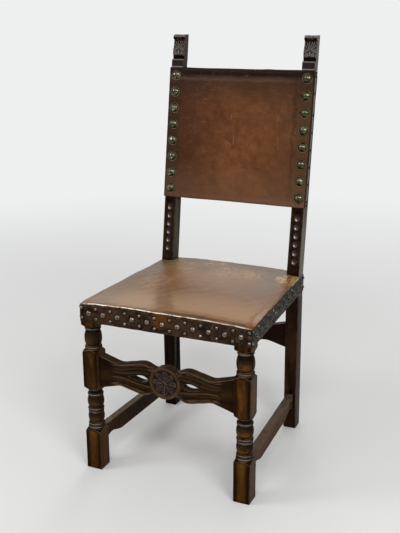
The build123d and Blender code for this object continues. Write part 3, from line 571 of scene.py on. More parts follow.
# Shares of a turned length: the middles of its rings, and the middles and half lengths of its barrels
LENGTH_RINGS = [(0.07, 0.143, 0.438, 0.503, 0.85, 0.965), (0.143, 0.888)]
LENGTH_BARRELS = [[(0.285, 0.12), (0.66, 0.14)], [(0.46, 0.29)]]
LEG_HALF_DEPTH = 22
leg_middle_x = (leg_low.x + leg_high.x) / 2 / MM
leg_middle_y = leg_low.y / MM + LEG_HALF_DEPTH


def turned_paint(side):
    """Colours of a leg's turned lengths: painted black shade in the grooves, a painted sheen and an orange glow
    of rubbed wood with painted light on the barrels, painted highlights on the rings, and painted light on the
    blocks' right faces.
    """
    # The orange glow is brighter on the right leg, where the light falls: painted light
    rubbed_and_lit_glow_colour = (0.14, 0.055, 0.008) if side > 0 else (0.07, 0.033, 0.008)

    def paint(shader, patches):
        x = shader.along("X") - side * leg_middle_x
        y = shader.along("Y") - leg_middle_y
        height = shader.along("Z")
        radius = (x * x + y * y).maths("SQRT")
        turned = sum(height.between(low - 6, low + 2, high - 2, high + 6) for low, high in TURNED_LENGTHS)
        shader.over(turned, 0.85, (0.006, 0.0028, 0.0012))
        # Painted shade, black, in the grooves, where the turning is thinnest
        shader.over(radius.span(20.6, 18.8), 0.9, BLACK)
        # Painted light on the blocks' faces that look to the right
        shader.over(shader.facing((1, 0, 0), 0.7, 0.95) * turned.span(1, 0), 0.6, (0.06, 0.028, 0.0085))
        front = shader.facing((0.1, -0.99, 0), 0.35, 1.0)
        stops = []
        for (low, high), rings, barrels in zip(TURNED_LENGTHS, LENGTH_RINGS, LENGTH_BARRELS):
            for level, half in barrels:
                from_middle = (height - (low + (high - low) * level)) / ((high - low) * half)
                # A painted greyish sheen over the upper part of each barrel
                painted_sheen = from_middle.between(-0.2, 0.4, 0.5, 1.0)
                shader.over(painted_sheen * front, 0.22, (0.045, 0.038, 0.031))
                # An orange glow on the front of each barrel: rubbed wood, with painted light
                glow = from_middle.between(-0.8, -0.3, -0.1, 0.5) * front * patches.span(0, 0.6, 0.3, 1.0)
                shader.over(glow, 0.7, rubbed_and_lit_glow_colour)
            for level in rings:
                ring = (low + (high - low) * level) / leg_top
                stops += [(ring - 0.003, BLACK), (ring, WHITE), (ring + 0.003, BLACK)]
        # Painted highlights, pale, on the rings where they look forward
        rings = shader.node("SeparateColor", {"Color": shader.ramp(height / leg_top, *stops)})
        rings = rings * shader.facing((0.25, -0.97, 0), 0.35, 0.98) * patches.span(0, 0.5, 0.5, 1.0)
        shader.over(rings * turned, 0.9, (0.31, 0.27, 0.25))
    return paint


def top_paint(tint, strength):
    """Colour of a board's upper face, rubbed and dusty and lighter with painted light from above, with grooves
    along its grain.
    """
    def paint(shader, patches):
        # The upper face lighter: dust and painted light
        top = shader.facing((0, 0, 1), 0.6, 0.9)
        shader.over(top * patches.span(0, 0.7, 0.6, 1.0), strength, tint)
        grooves = shader.noise(120, shader.mapped((1, 0.015, 0.015)), 1, 0.4).span(0.52, 0.58)
        shader.over(grooves * top, 0.6, (0.02, 0.0125, 0.008))
    return paint


def outer_stretcher_paint(shader, patches):
    """Colours of the right side stretcher: its upper face, a redder side lighter with painted light, and a
    painted highlight line and a painted shade line at its top.
    """
    top_paint((0.15, 0.11, 0.08), 0.75)(shader, patches)
    # The outer face, which looks to the right, redder and lighter with painted light
    outside = shader.facing((1, 0, 0), 0.6, 0.9)
    shader.over(outside, 0.6, (0.075, 0.033, 0.015))
    below = side_board_top / MM - shader.along("Z")
    # A painted highlight line and a painted shade line just under the top, standing in for a small moulding
    shader.over(below.between(4, 5, 6.2, 7.2) * outside, 0.8, (0.16, 0.125, 0.09))
    shader.over(below.between(1.4, 2.4, 3.4, 4.4) * outside, 0.8, (0.014, 0.008, 0.0045))


def board_paint(shader, patches):
    """Colours of the front board: its upper face, a violet-grey flower in an ochre rim, and painted highlights
    on its ridges and on the flower's.
    """
    top_paint((0.06, 0.042, 0.025), 0.55)(shader, patches)
    x = shader.along("X")
    z = shader.along("Z") - (board_low.z + board_high.z) / 2 / MM
    radius = (x * x + z * z).maths("SQRT")
    front = shader.facing((0, -1, 0), 0.05, 0.3)
    crest_light = shader.kept("crest_light")
    flower = front * radius.span(34, 32)
    shader.over(flower, 0.6, (0.02, 0.0145, 0.0145))
    # Painted highlights on the flower's ridges
    shader.over(flower * crest_light.span(0.1, 0.6), 0.7, (0.1, 0.083, 0.082))
    uneven = shader.noise(28, None, 3, 0.6).span(0.4, 0.6, 0.3, 1.0)
    shader.over(front * radius.between(33, 35, 39, 42) * uneven, 0.6, (0.098, 0.055, 0.016))
    # Painted highlights along the ribbons' ridges
    ridges = front * radius.span(42, 46) * crest_light.span(0.5, 0.95)
    shader.over(ridges * patches, 0.6, (0.17, 0.12, 0.078))


# The beads of the posts: how many, their pitch and size, and the height of the first one above the seat
BEADS, BEAD_PITCH, BEAD_HALF_WIDTH, BEAD_HALF_HEIGHT, BEAD_START = 6, 24, 7.75, 10.75, 40
bead_first = (seat_edge_height - face_origin.z) / cos(rake) / MM + BEAD_START
post_middle = (post_low.x + post_high.x) / 2 / MM
panel_top = panel_height / MM


def bead_paint(shader, up, across, front, patches):
    """Polished beads with painted light on their lower left, a painted glint and painted shade round them, in a
    reddish strip with an olive border.
    """
    bead_last = bead_first + (BEADS - 1) * BEAD_PITCH
    in_rows = up.between(bead_first - 14, bead_first - 10, bead_last + 10, bead_last + 14) * front
    shader.over(in_rows * abs(across).span(11, 10), 0.7, (0.036, 0.0105, 0.006))
    shader.over(in_rows * abs(across).span(11, 13) * patches, 0.6, (0.055, 0.031, 0.01))

    def ellipse(x, y, half_width, half_height):
        """Square of the distance from a middle, where 1 is on the outline."""
        x, y = x / half_width, y / half_height
        return x * x + y * y

    # One bead is repeated up the strip
    along = (((up - bead_first) / BEAD_PITCH + 0.5).maths("FRACT") - 0.5) * BEAD_PITCH
    shape = ellipse(across, along, BEAD_HALF_WIDTH, BEAD_HALF_HEIGHT)
    # Painted shade, black, round each bead
    shader.over(in_rows * shape.span(1.45, 1.1), 0.85, BLACK)
    inside = in_rows * shape.span(0.95, 0.7)
    shader.over(inside, 0.95, (0.026, 0.0165, 0.0145))
    # Painted light on the lower left of each bead
    lit = (across * -0.55 - along * 0.85).span(-5, 7)
    shader.over(inside * lit, 0.95, (0.15, 0.127, 0.12))
    # A painted glint on each bead
    painted_glint = ellipse(across + 2.2, along + 4.6, 2.6, 3.6).span(1.0, 0.1)
    shader.over(painted_glint * inside, 0.92, (0.78, 0.75, 0.73))


def post_paint(side):
    """Colours of a post: painted light on its right cheek, bright on the right post and faint on the left,
    painted shade on the left post below the seat, its beads, and the finial's collar.
    """
    cheek_light_colour = (0.2, 0.182, 0.16) if side > 0 else (0.066, 0.06, 0.046)

    def paint(shader, patches):
        up = shader.on_face(1)
        front = shader.facing(face_axes.col[2], 0.3, 0.6)
        # Painted light on the cheek that looks to the right
        shader.over(shader.facing((1, 0, 0), 0.7, 0.95) * up.span(-200, -190), 0.7, cheek_light_colour)
        # Painted shade on the left post below the seat
        if side < 0:
            shader.over(shader.along("Z").span(430, 400), 0.55, BLACK)
        bead_paint(shader, up, shader.along("X") - side * post_middle, front, patches)
        # The collar is violet-brown, with a pale line at its top and foot
        above = up - panel_top
        shader.over(above.between(0, 1, 22.5, 23) * front, 0.8, (0.021, 0.0155, 0.0145))
        for foot, top in ((20.4, 23.4), (0.0, 3.6)):
            line = above.between(foot - 0.6, foot + 0.6, top - 0.6, top + 0.6)
            shader.over(line * front, 0.85, (0.21, 0.18, 0.165))
    return paint


def bare_wood(name, grain, move):
    """Unpolished inner wood, darkened by age and dust, with painted shade in its hollows."""
    shader = Shader(name)
    place = grain_place(shader, grain, 0.06, 0, (move, move, move))
    figure = shader.noise(45, place, 5, 0.6, 0.4)
    fibre = shader.noise(320, place, 3, 0.6)
    shader.colour = shader.ramp(
        figure, (0.3, (0.09, 0.05, 0.025)), (0.55, (0.17, 0.1, 0.052)), (0.75, (0.24, 0.15, 0.085))
    )
    shader.over(fibre.span(0.5, 0.75), 0.5, (0.06, 0.035, 0.02))
    # Painted shade in the hollows
    shader.over(shader.hollows(20, 0.3, 0.9), 1, (0.03, 0.02, 0.012))
    return shader.finish(Roughness=0.82, Normal=shader.bump(fibre, 0.35, 0.6))


def leather_grain(shader, size):
    """Height of fine leather grain: small rounded cells with creases between them."""
    bent = shader.mix(0.006, shader.place, shader.noise(300, None, 2, output="Color"))
    cells = shader.node("TexVoronoi", {"Vector": bent, "Scale": size}, "Distance", feature="DISTANCE_TO_EDGE")
    return cells.span(0.0, 0.35) + shader.noise(size * 1.7, None, 2, 0.5) * 0.6


# Ends of single scratches on the back, as (x, z)
BACK_SCRATCHES = [
    ((-14, 904), (-14, 868)),
    ((-4, 853), (-5, 815)),
    ((-36, 832), (-11, 815)),
    ((-30, 836), (-24, 806)),
    ((124, 909), (119, 877)),
    ((121, 876), (127, 811)),
    ((136, 931), (129, 912)),
    ((131, 848), (141, 850)),
    ((-6, 692), (14, 680)),
]


def scratches_between(shader, ends, width):
    """1 along short straight scratches, whose ends are seen from the front, and 0 elsewhere."""
    flat = shader.vector("MULTIPLY", shader.place, (1 / MM, 0, 1 / MM), 0)
    uneven = (shader.noise(70, None, 2) - 0.5) * 7
    found = []
    for (x0, z0), (x1, z1) in ends:
        run = Vector((x1 - x0, 0, z1 - z0))
        away = shader.vector("SUBTRACT", flat, (x0, 0, z0), 0)
        share = shader.vector("DOT_PRODUCT", away, run / run.length_squared)
        share = shader.node("Clamp", {"Value": share})
        foot = shader.node("VectorMath", {0: run, "Scale": share}, operation="SCALE")
        apart = abs(shader.vector("DISTANCE", away, foot) + uneven)
        found.append(apart.span(width, 0.0) * share.span(0.0, 0.25, 0.4, 1.0))
    return greatest(found)


def greatest(values):
    """The greatest one of some values."""
    found = values[0]
    for value in values[1:]:
        found = found.most(value)
    return found


def back_leather_material():
    """Red-brown waxed leather with dark, greyed borders, faint scratches, a crackled surface and painted shade
    in its hollows.
    """
    shader = Shader("back_leather_worn")
    soft = shader.noise(6, shader.mapped(move=(0.7, 0, 0.2)), 4, 0.6, 0.4)
    fine = shader.noise(42, None, 5, 0.65)
    tone = soft * 0.6 + fine * 0.4
    shader.colour = shader.ramp(
        tone, (0.36, (0.07, 0.022, 0.007)), (0.5, (0.13, 0.045, 0.0145)), (0.66, (0.19, 0.072, 0.027))
    )
    ragged = (fine - 0.5) * 46
    back_borders(shader, ragged)
    marks = back_marks(shader, soft)
    back_sides(shader, fine, ragged)
    # Painted shade in the hollows, round the nails and along the creases
    shader.over(shader.hollows(7, 0.45, 0.95), 0.85, DEEP)
    relief = shader.bump(shader.noise(90, shader.mapped((1, 1, 0.5)), 4, 0.6, 0.8), 1.0, 0.3)
    relief = shader.bump(leather_grain(shader, 700), 0.2, 0.4, relief)
    relief = shader.bump(marks, 0.25, 0.5, relief)
    rough = tone.span(0.35, 0.65, 0.3, 0.46)
    return shader.finish(Roughness=rough, Normal=relief, Specular_IOR_Level=0.085)


def back_borders(shader, ragged):
    """Borders of the back panel, each with its own colour, and painted highlights under the top roll and along
    the lower border.
    """
    across, height = shader.along("X"), shader.along("Z")
    worn_x = across + ragged
    # Darker and redder to the left, greyer to the right
    shader.over(worn_x.span(0, -175), 0.85, (0.04, 0.0115, 0.0035))
    shader.over(worn_x.span(60, 165), 0.5, (0.068, 0.03, 0.015))
    # Olive strips under the nails, with a dark line where they meet the panel
    shader.over(worn_x.span(-170, -184), 0.75, (0.026, 0.015, 0.006))
    shader.over(worn_x.span(168, 184), 0.75, (0.058, 0.031, 0.0105))
    shader.over(worn_x.between(158, 166, 168, 178), 0.45, DEEP)
    # Darker towards the top and darkest along the roll, with a painted highlight in a line below it
    down = cover_high.z / MM - (height + ragged * 0.25)
    shader.over(down.span(120, 24), 0.8, (0.03, 0.0125, 0.0058))
    shader.over(down.between(37, 31, 29, 25) * across.span(185, 120), 0.35, (0.1, 0.06, 0.04))
    shader.over(down.span(25, 17), 0.94, (0.0105, 0.0038, 0.0017))
    # The lower third a little greyer, and a painted pinkish highlight along the lower border to the right
    up = height + ragged * 0.25 - cover_low.z / MM
    shader.over(up.span(130, 30), 0.3, (0.16, 0.088, 0.05))
    low = (height + ragged * 0.5 - cover_low.z / MM).span(30, 8) * across.span(-190, 90, 0.25, 1.0)
    shader.over(low, 0.6, (0.15, 0.07, 0.045))


def back_marks(shader, soft):
    """Rubs and scratches of the back panel, which also give it relief."""
    rubs = shader.noise(620, shader.mapped((1, 1, 0.06), (0, 0.35, 0.1)), 2, 0.5)
    thin = shader.noise(480, shader.mapped((0.06, 1, 1), (0, 0.7, 0)), 2, 0.5)
    marks = (rubs.span(0.63, 0.7) * soft.span(0.45, 0.6)).most(thin.span(0.65, 0.72) * 0.8) * 0.5
    marks = marks.most(scratches_between(shader, BACK_SCRATCHES, 0.9) * 0.75)
    shader.over(marks, 0.52, (0.28, 0.155, 0.085))
    return marks


def back_sides(shader, fine, ragged):
    """Sides of the back's leather: a black arris, a greyish stripe above the hem, painted shadows and
    highlights round the nails, and painted highlights on the lower edges.
    """
    across, out = abs(shader.along("X")), shader.on_face(2)
    cover_half, post_half = cover_high.x / MM, post_high.x / MM
    shader.over(across.span(cover_half - 3.5, cover_half - 1.5), 0.88, (0.009, 0.005, 0.003))
    stripe = out.between(-14, -9, -5, -2) * across.span(post_half - 1, post_half)
    shader.over(stripe, 0.8, (0.25, 0.22, 0.2))
    gap = shader.kept("gap")
    # Painted shadow round each nail, and a painted highlight on a rim just below it
    shader.over(gap.span(5, 1), 0.55, (0.018, 0.009, 0.004))
    shader.over(gap.between(-0.6, 0, 0.5, 1.3) * fine.span(0.36, 0.5), 0.85, (0.25, 0.19, 0.115))
    # Painted highlights on the lower edges
    lower = (shader.along("Z") + ragged * 0.25).span(750, 720)
    shader.over(shader.worn_edges(2.5, 0.03, 0.2) * lower, 0.6, (0.2, 0.13, 0.1))


# Patches of the seat: middles and radii of the scuffs, and middles of a worn corner and an ochre spot
SEAT_SCUFFS = [
    ((-128, -60, 478), 80),
    ((30, 90, 478), 80),
    ((90, 85, 478), 60),
    ((-135, 110, 476), 80),
    ((-40, 160, 478), 65),
]
SEAT_WORN_CORNER = (205, 105, 472)
BAND_OCHRE = (-6, -273, 453)


class SeatLeather(Shader):
    """Tan leather worn smooth and glossy on top, almost black down the nailed sides."""

    def __init__(self, name):
        super().__init__(name)
        self.across, self.depth, self.height = (self.along(axis) for axis in "XYZ")
        self.soft = self.noise(6.5, self.mapped(move=(3.1, 0.4, 0)), 4, 0.6, 0.5)
        self.fine = self.noise(48, None, 6, 0.68)
        self.tone = self.soft * 0.55 + self.fine * 0.45
        self.ragged = (self.fine - 0.5) * 70
        self.behind = self.depth - seat_low.y / MM
        self.ragged_behind = self.behind + self.ragged * 0.3

    def top(self):
        """Olive and darker towards the back, with painted light behind the front edge, and a dark streak to the
        left.
        """
        middle = -seat_low.y / MM
        self.colour = self.ramp(
            self.tone, (0.36, (0.14, 0.057, 0.018)), (0.5, (0.222, 0.1, 0.034)), (0.66, (0.29, 0.15, 0.06))
        )
        self.over(self.ragged_behind.span(middle + 10, middle + 180), 0.66, (0.064, 0.034, 0.011))
        rightmost = (self.across + self.ragged).span(40, 190)
        self.over(rightmost * self.ragged_behind.span(middle - 150, middle), 0.55, (0.08, 0.047, 0.025))
        # Painted light behind the front edge
        self.over(self.ragged_behind.between(6, 22, 60, 185), 0.8, (0.4, 0.258, 0.152))
        streak = (self.across + self.depth * 0.49 + self.ragged * 0.7).between(-166, -140, -118, -90)
        streak = streak * self.ragged_behind.span(middle + 100, middle - 30) * self.ragged_behind.span(8, 26)
        self.over(streak, 0.72, (0.16, 0.06, 0.014))

    def scuffs(self):
        """Strands of bare leather round some places, a painted greyish sheen to the left, scratches and a worn
        corner.
        """
        near = greatest([
            self.spot(centre, radius, radius * 0.7, self.ragged * 0.8) for centre, radius in SEAT_SCUFFS
        ])
        strands = greatest([
            self.noise(340, self.mapped(stretch, (0, 0, turn), (0, 0.3, 0)), 3, 0.6, 0.3).span(0.56, 0.63)
            for stretch, turn in (((0.2, 1, 1), 0.55), ((0.24, 1, 1), -0.5), ((1, 0.22, 1), 0.25))
        ])
        thinned = self.noise(30, self.mapped(move=(0, 0.8, 0)), 3, 0.6).span(0.42, 0.58, 0.5, 1.0)
        self.over(strands * thinned * (near * 0.85 + 0.07), 1, (0.48, 0.29, 0.12))
        # A painted greyish sheen to the left
        self.over((self.across + self.ragged).span(-115, -195), 0.52, (0.13, 0.108, 0.08))
        thin = self.noise(430, self.mapped((0.07, 1, 1), (0, 0, 0.25)), 2, 0.5)
        self.over(thin.span(0.6, 0.7), 0.3, (0.4, 0.27, 0.17))
        flaked = self.noise(95, self.mapped(move=(0.4, 0, 0)), 5, 0.7).span(0.44, 0.52)
        self.over(self.spot(SEAT_WORN_CORNER, 52, 20, self.ragged) * flaked, 0.9, (0.46, 0.31, 0.1))

    def edge_lines(self):
        """Dark line with an ochre border behind the front edge to the right, and a reddish one at the sides."""
        wavy = (self.noise(14, None, 4, 0.6) - 0.5) * 22
        from_front = self.behind + wavy
        rightwards = self.across.span(-70, 20)
        self.over(from_front.between(14, 19, 30, 46) * rightwards, 0.75, (0.27, 0.118, 0.036))
        self.over(from_front.between(4, 9, 16, 25) * rightwards, 0.88, (0.075, 0.036, 0.015))
        half, rear_half = seat_high.x / MM, 214
        slant = (half - rear_half) / ((seat_high.y - seat_low.y) / MM)
        from_side = half - abs(self.across + self.behind * slant) + wavy
        broken = self.noise(190, None, 7, 0.8).span(0.42, 0.55)
        self.over(from_side.between(9, 14, 18, 26) * broken, 0.85, (0.22, 0.074, 0.022))

    def band(self):
        """Dark nailed band with redder patches, pale flecks on its right side, and painted shadow and dirt,
        black, round the nails.
        """
        stops = (0.38, (0.01, 0.0055, 0.0035)), (0.56, (0.038, 0.022, 0.013)), (0.72, (0.1, 0.055, 0.03))
        self.colour = self.ramp(self.fine, *stops)
        red = self.noise(16, self.mapped(move=(0, 2.3, 0)), 3, 0.6).span(0.5, 0.66)
        self.over(red, 0.5, (0.064, 0.03, 0.0145))
        beside = self.facing((1, 0, 0), 0.4, 0.9)
        self.over(beside, 0.8, (0.009, 0.0065, 0.003))
        flecks = self.noise(170, self.mapped(move=(0.7, 0, 0)), 3, 0.7).span(0.52, 0.66)
        self.over(flecks * beside, 0.75, (0.12, 0.1, 0.076))
        self.over(self.spot(BAND_OCHRE, 25, 10, self.ragged * 0.3), 0.8, (0.1, 0.036, 0.005))
        # Painted shadow and dirt, black, round each nail
        self.over(self.kept("gap").span(3.2, 0.6), 0.62, BLACK)

    def arris(self, below):
        """A painted highlight on bare worn leather along the front arris, and rubbed edges above the band."""
        half = seat_high.x / MM
        ends = abs(self.across).span(half - 4, half - 16)
        broken = self.noise(50, None, 6, 0.8).span(0.38, 0.55, 0.1, 1.0)
        # A near-white painted highlight along the front arris, fainter to the right
        arris = self.facing((0, -0.616, 0.788), 0.945, 0.978) * ends * broken
        arris = arris * self.across.span(-20, 160, 1.0, 0.6)
        self.over(arris, 0.97, (0.95, 0.9, 0.8))
        edge = self.worn_edges(4.5, 0.03, 0.17) * self.fine.span(0.35, 0.6) * below.span(1, 0)
        self.over(edge, 0.3, (0.3, 0.2, 0.13))

    def made(self, shine):
        """The whole material."""
        self.top()
        self.scuffs()
        self.edge_lines()
        top = self.colour
        self.band()
        below = self.facing((0, 0, 1), 0.66, 0.56).most(self.height.span(466, 463))
        self.colour = self.mix(below, top, self.colour)
        self.arris(below)
        # Painted shade in the hollows and round the nails
        self.over(self.hollows(6, 0.45, 0.95), 0.8, DEEP)
        relief = self.bump(self.noise(70, None, 4, 0.6, 1.0), 1.0, 0.25)
        relief = self.bump(leather_grain(self, 620), 0.18, 0.35, relief)
        rough = self.tone.span(0.35, 0.65, 0.28, 0.42)
        return self.finish(Roughness=rough, Normal=relief, Specular_IOR_Level=shine)


def metal(name, dark, light, worn, low, high):
    """Aged metal with tarnish in the hollows and a polished crown, its roughness between low and high."""
    shader = Shader(name)
    spots = shader.noise(700, None, 3, 0.6)
    shader.colour = shader.ramp(shader.noise(160, None, 4, 0.6), (0.35, dark), (0.65, light))
    shader.over(spots.span(0.5, 0.72), 0.7, darker(dark, 0.35))
    shader.over(shader.hollows(5, 0.3, 0.9), 1, darker(dark, 0.2))
    shader.over(shader.noise(90, None, 2, 0.5).span(0.55, 0.75), 0.6, worn)
    relief = shader.bump(shader.noise(150, None, 2, 0.5), 0.3, 0.2)
    relief = shader.bump(spots, 0.08, 0.5, relief)
    return shader.finish(Metallic=1.0, Roughness=spots.span(0.35, 0.7, low, high), Normal=relief)


def cloth(name, threads, dark, light, turn=0.0, depth=0.5, soil=0.4):
    """Plain weave from two crossed sets of threads, threads per metre, with painted shade where the threads dip
    and in its hollows.
    """
    shader = Shader(name)
    place = shader.mapped(turn=(turn, 0, 0))
    uneven = shader.noise(60, None, 3, 0.6) * 2.5
    sets = []
    for axis, other, lift in (("X", "Y", 0.35), ("Y", "X", -0.35)):
        run, crossing = (
            shader.node("SeparateXYZ", {"Vector": place}, way) * (threads * pi) for way in (axis, other)
        )
        thread = (run + uneven).maths("SINE")
        sets.append(abs(thread) + thread * crossing.maths("SINE") * lift)
    height = greatest(sets)
    # Painted shade where the threads dip, lighter on their tops
    shader.colour = shader.ramp(height.span(0.2, 1.2), (0.1, dark), (0.8, light))
    shader.over(shader.noise(9, None, 4, 0.65).span(0.45, 0.7), soil, darker(dark, 0.35))
    # Painted shade in the hollows
    shader.over(shader.hollows(18, 0.3, 0.9), 0.6, darker(dark, 0.3))
    return shader.finish(Roughness=0.92, Normal=shader.bump(height, depth, 0.7), Sheen_Weight=0.15)


# Stains, each dark, middle and light
OAK = ((0.014, 0.0056, 0.0014), (0.038, 0.0148, 0.0032), (0.088, 0.034, 0.007))
DARK_OAK = ((0.0065, 0.003, 0.0016), (0.0165, 0.0068, 0.0034), (0.044, 0.0185, 0.0095))
BOARD_STAIN = ((0.0065, 0.0029, 0.001), (0.019, 0.0083, 0.0022), (0.044, 0.0195, 0.0045))
# The left side stretcher's stain is darker, as painted shade under the seat, and the right one's lighter, as
# painted light from the right
SHADED_LEFT_STAIN = (DARK_OAK[0], (0.03, 0.0135, 0.0055), (0.06, 0.029, 0.014))
LIT_RIGHT_STAIN = (DARK_OAK[0], (0.046, 0.019, 0.0075), (0.105, 0.047, 0.022))

iron = metal("old_iron", (0.018, 0.015, 0.013), (0.045, 0.038, 0.033), (0.09, 0.075, 0.065), 0.4, 0.65)
black_iron = metal(
    "black_iron", (0.006, 0.0055, 0.005), (0.012, 0.011, 0.01), (0.03, 0.027, 0.025), 0.35, 0.6
)
seat_brass = metal("seat_nail_metal", (0.06, 0.048, 0.037), (0.23, 0.19, 0.15), (0.6, 0.52, 0.42), 0.22, 0.38)
# A darker copy of the seat nails' metal, as painted shade on the nails down the seat's sides
shaded_side_brass = metal(
    "side_nail_metal", (0.016, 0.0135, 0.009), (0.085, 0.076, 0.056), (0.5, 0.455, 0.37), 0.13, 0.27
)
back_brass = metal(
    "back_nail_metal", (0.036, 0.032, 0.016), (0.125, 0.115, 0.068), (0.52, 0.49, 0.38), 0.12, 0.2
)
rail_wood_across = bare_wood("rail_wood_across", "X", 2.6)
rail_wood_along = bare_wood("rail_wood_along", "Y", 5.1)
board_wood = wood("board_wood", "X", BOARD_STAIN, 3.4, worn=(0.15, 0.09, 0.05), crest_light=(0.1, 0.056, 0.028),
                  paint=board_paint)
seat_hide = SeatLeather("seat_leather_worn").made(0.13)
seat_band_hide = SeatLeather("seat_band_worn").made(0.02)
back_hide = back_leather_material()
hessian_cloth = cloth("hessian_weave", 450, (0.1, 0.068, 0.036), (0.3, 0.22, 0.125))
webbing_cloth = cloth("webbing_weave", 900, (0.13, 0.095, 0.058), (0.33, 0.26, 0.165), soil=0.5)
lining_cloth = cloth("lining_weave", 1100, (0.022, 0.014, 0.009), (0.062, 0.042, 0.028), pi / 2, 0.3)

side_left_paint = top_paint((0.17, 0.125, 0.085), 0.8)
side_left_wood = wood("side_wood_left", "Y", SHADED_LEFT_STAIN, 7.9, paint=side_left_paint)
side_right_wood = wood("side_wood_right", "Y", LIT_RIGHT_STAIN, 9.2, paint=outer_stretcher_paint, shine=0.008)

# Materials of the frame's nodes, by how the nodes' names begin; the first one that fits is taken
node_materials = {
    "rear_stretcher": wood("rear_board_wood", "X", DARK_OAK, 5.5),
    "side_stretcher_left": side_left_wood,
    "side_stretcher_right": side_right_wood,
    "seat_side_rail": rail_wood_along,
    "seat_front_rail": rail_wood_across,
    "seat_rear_rail": rail_wood_across,
    "back_top_rail": rail_wood_across,
    "back_bottom_rail": rail_wood_across,
    "seat_side_nails": shaded_side_brass,
    "seat_front_nails": seat_brass,
    "seat_rear_nails": seat_brass,
    "back_edge_nails": black_iron,
    "back_nails": back_brass,
    "corner_block_screws": iron,
    "corner_block": rail_wood_along,
    "webbing_tacks": iron,
    "lining_nails": iron,
}
for name, side, leg_move, post_move in (("left", -1, 1.3, 2.2), ("right", 1, 4.7, 6.1)):
    node_materials[f"front_leg_{name}"] = wood(
        f"leg_wood_{name}", "Z", OAK, leg_move, worn=(0.24, 0.14, 0.07),
        core=(side * leg_middle_x, leg_middle_y), paint=turned_paint(side),
    )
    node_materials[f"rear_leg_{name}"] = wood(
        f"post_wood_{name}", "Z", DARK_OAK, post_move, rake / 2, worn=(0.17, 0.135, 0.11),
        crest_light=(0.21, 0.19, 0.178), paint=post_paint(side),
    )
for name, node in nodes.items():
    fitting = [material for start, material in node_materials.items() if name.startswith(start)]
    if fitting:
        for slot in node.material_slots:
            slot.material = fitting[0]


# Covers

# Radius of a nail's head, and reach within which all its points lie
LARGE_NAIL, SMALL_NAIL = (8, 24), (5, 14)
CROWN_SHARES = [(0.0, 0.2), (0.25, 0.8), (0.5, 1.0), (0.75, 0.95), (1.0, 0.5)]


def seat_cover():
    """Leather over the seat: a low crown, soft corners, and sides that puff out between the nails."""
    half_front = seat_high.x
    half_rear = post_high.x + seat_leather * (half_front / (half_front + 21 * MM) + 0.09)
    depth = seat_high.y - seat_low.y
    skirt = seat_edge_height - seat_low.z
    points, out, faces = open_box(half_front, depth / 2, skirt, seat_arris, 4 * MM)
    behind = points[:, 1] / depth + 0.5
    across = points[:, 0] / half_front
    points[:, 0] *= 1 + (half_rear / half_front - 1) * behind
    crown = np.polyval(np.polyfit(*zip(*CROWN_SHARES), 4), behind)
    lid = step_up(points[:, 2], -seat_arris, 0)
    points[:, 2] += lid * seat_crown * crown * (1 - across**2)
    points += np.array([0, (seat_low.y + seat_high.y) / 2, seat_edge_height])
    # The front corners are pulled down, and the whole top is a little uneven, with a dip to the left
    corner = np.hypot(np.abs(points[:, 0]) - half_front, points[:, 1] - seat_low.y)
    upper = step_up(points[:, 2], seat_low.z + skirt * 0.55, seat_edge_height)
    points[:, 2] -= upper * 3.5 * MM * ridge(corner, 0, 19 * MM)
    uneven = 0.9 * MM * waves(points[:, :2], 150 * MM, 3) + 0.25 * MM * waves(points[:, :2], 34 * MM, 4)
    points[:, 2] += lid * uneven
    inside = step_up(np.minimum(behind, 1 - behind) * depth, 0, 60 * MM)
    points[:, 2] -= lid * inside * 1.2 * MM * ridge(points[:, 0], -70 * MM, 40 * MM)
    # The sides puff out between the nails, and the lower edge waves
    nails = []
    for node in nodes:
        if node.startswith(("seat_front_nails", "seat_rear_nails", "seat_side_nails")):
            radius, reach = LARGE_NAIL if "large" in node else SMALL_NAIL
            nails += [(place, radius * MM) for place in nail_places(node, reach)]
    gap = nearest(points, [place for place, _ in nails])
    sides = 1 - step_up(points[:, 2], seat_low.z + skirt * 0.9, seat_edge_height)
    puff = 0.75 * MM * step_up(gap, 7 * MM, 19 * MM) + 0.2 * MM * waves(points, 30 * MM, 5)
    points += out * (sides * puff)[:, None]
    hem = 1 - step_up(points[:, 2], seat_low.z, seat_low.z + 6 * MM)
    points[:, 2] -= hem * 0.4 * MM * (1 + waves(points, 45 * MM, 6))
    cover = make_object("seat_cover", points, faces)
    solidify(cover, seat_leather)
    post_gap, post_depth, above = 0.3 * MM, 40 * MM, 30 * MM
    low = (frame_back - post_depth - post_gap, hessian_top)
    high = (frame_back + post_gap, seat_high.z + above)
    cut_post_slots(cover, post_low.x - post_gap, post_high.x + post_gap, low, high)
    keep_gaps(cover, nails)
    dress(cover, seat_hide)
    cover.data.materials.append(seat_band_hide)
    for face in cover.data.polygons:
        if abs(face.normal.z) < 0.5:
            face.material_index = 1
    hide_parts("seat_leather", "seat_stuffing")


def fall(distance, radius):
    """Share by which a rounded edge has fallen: 1 at its end, and 0 beyond the radius."""
    return 1 - dome(np.maximum(radius - distance, 0), radius)


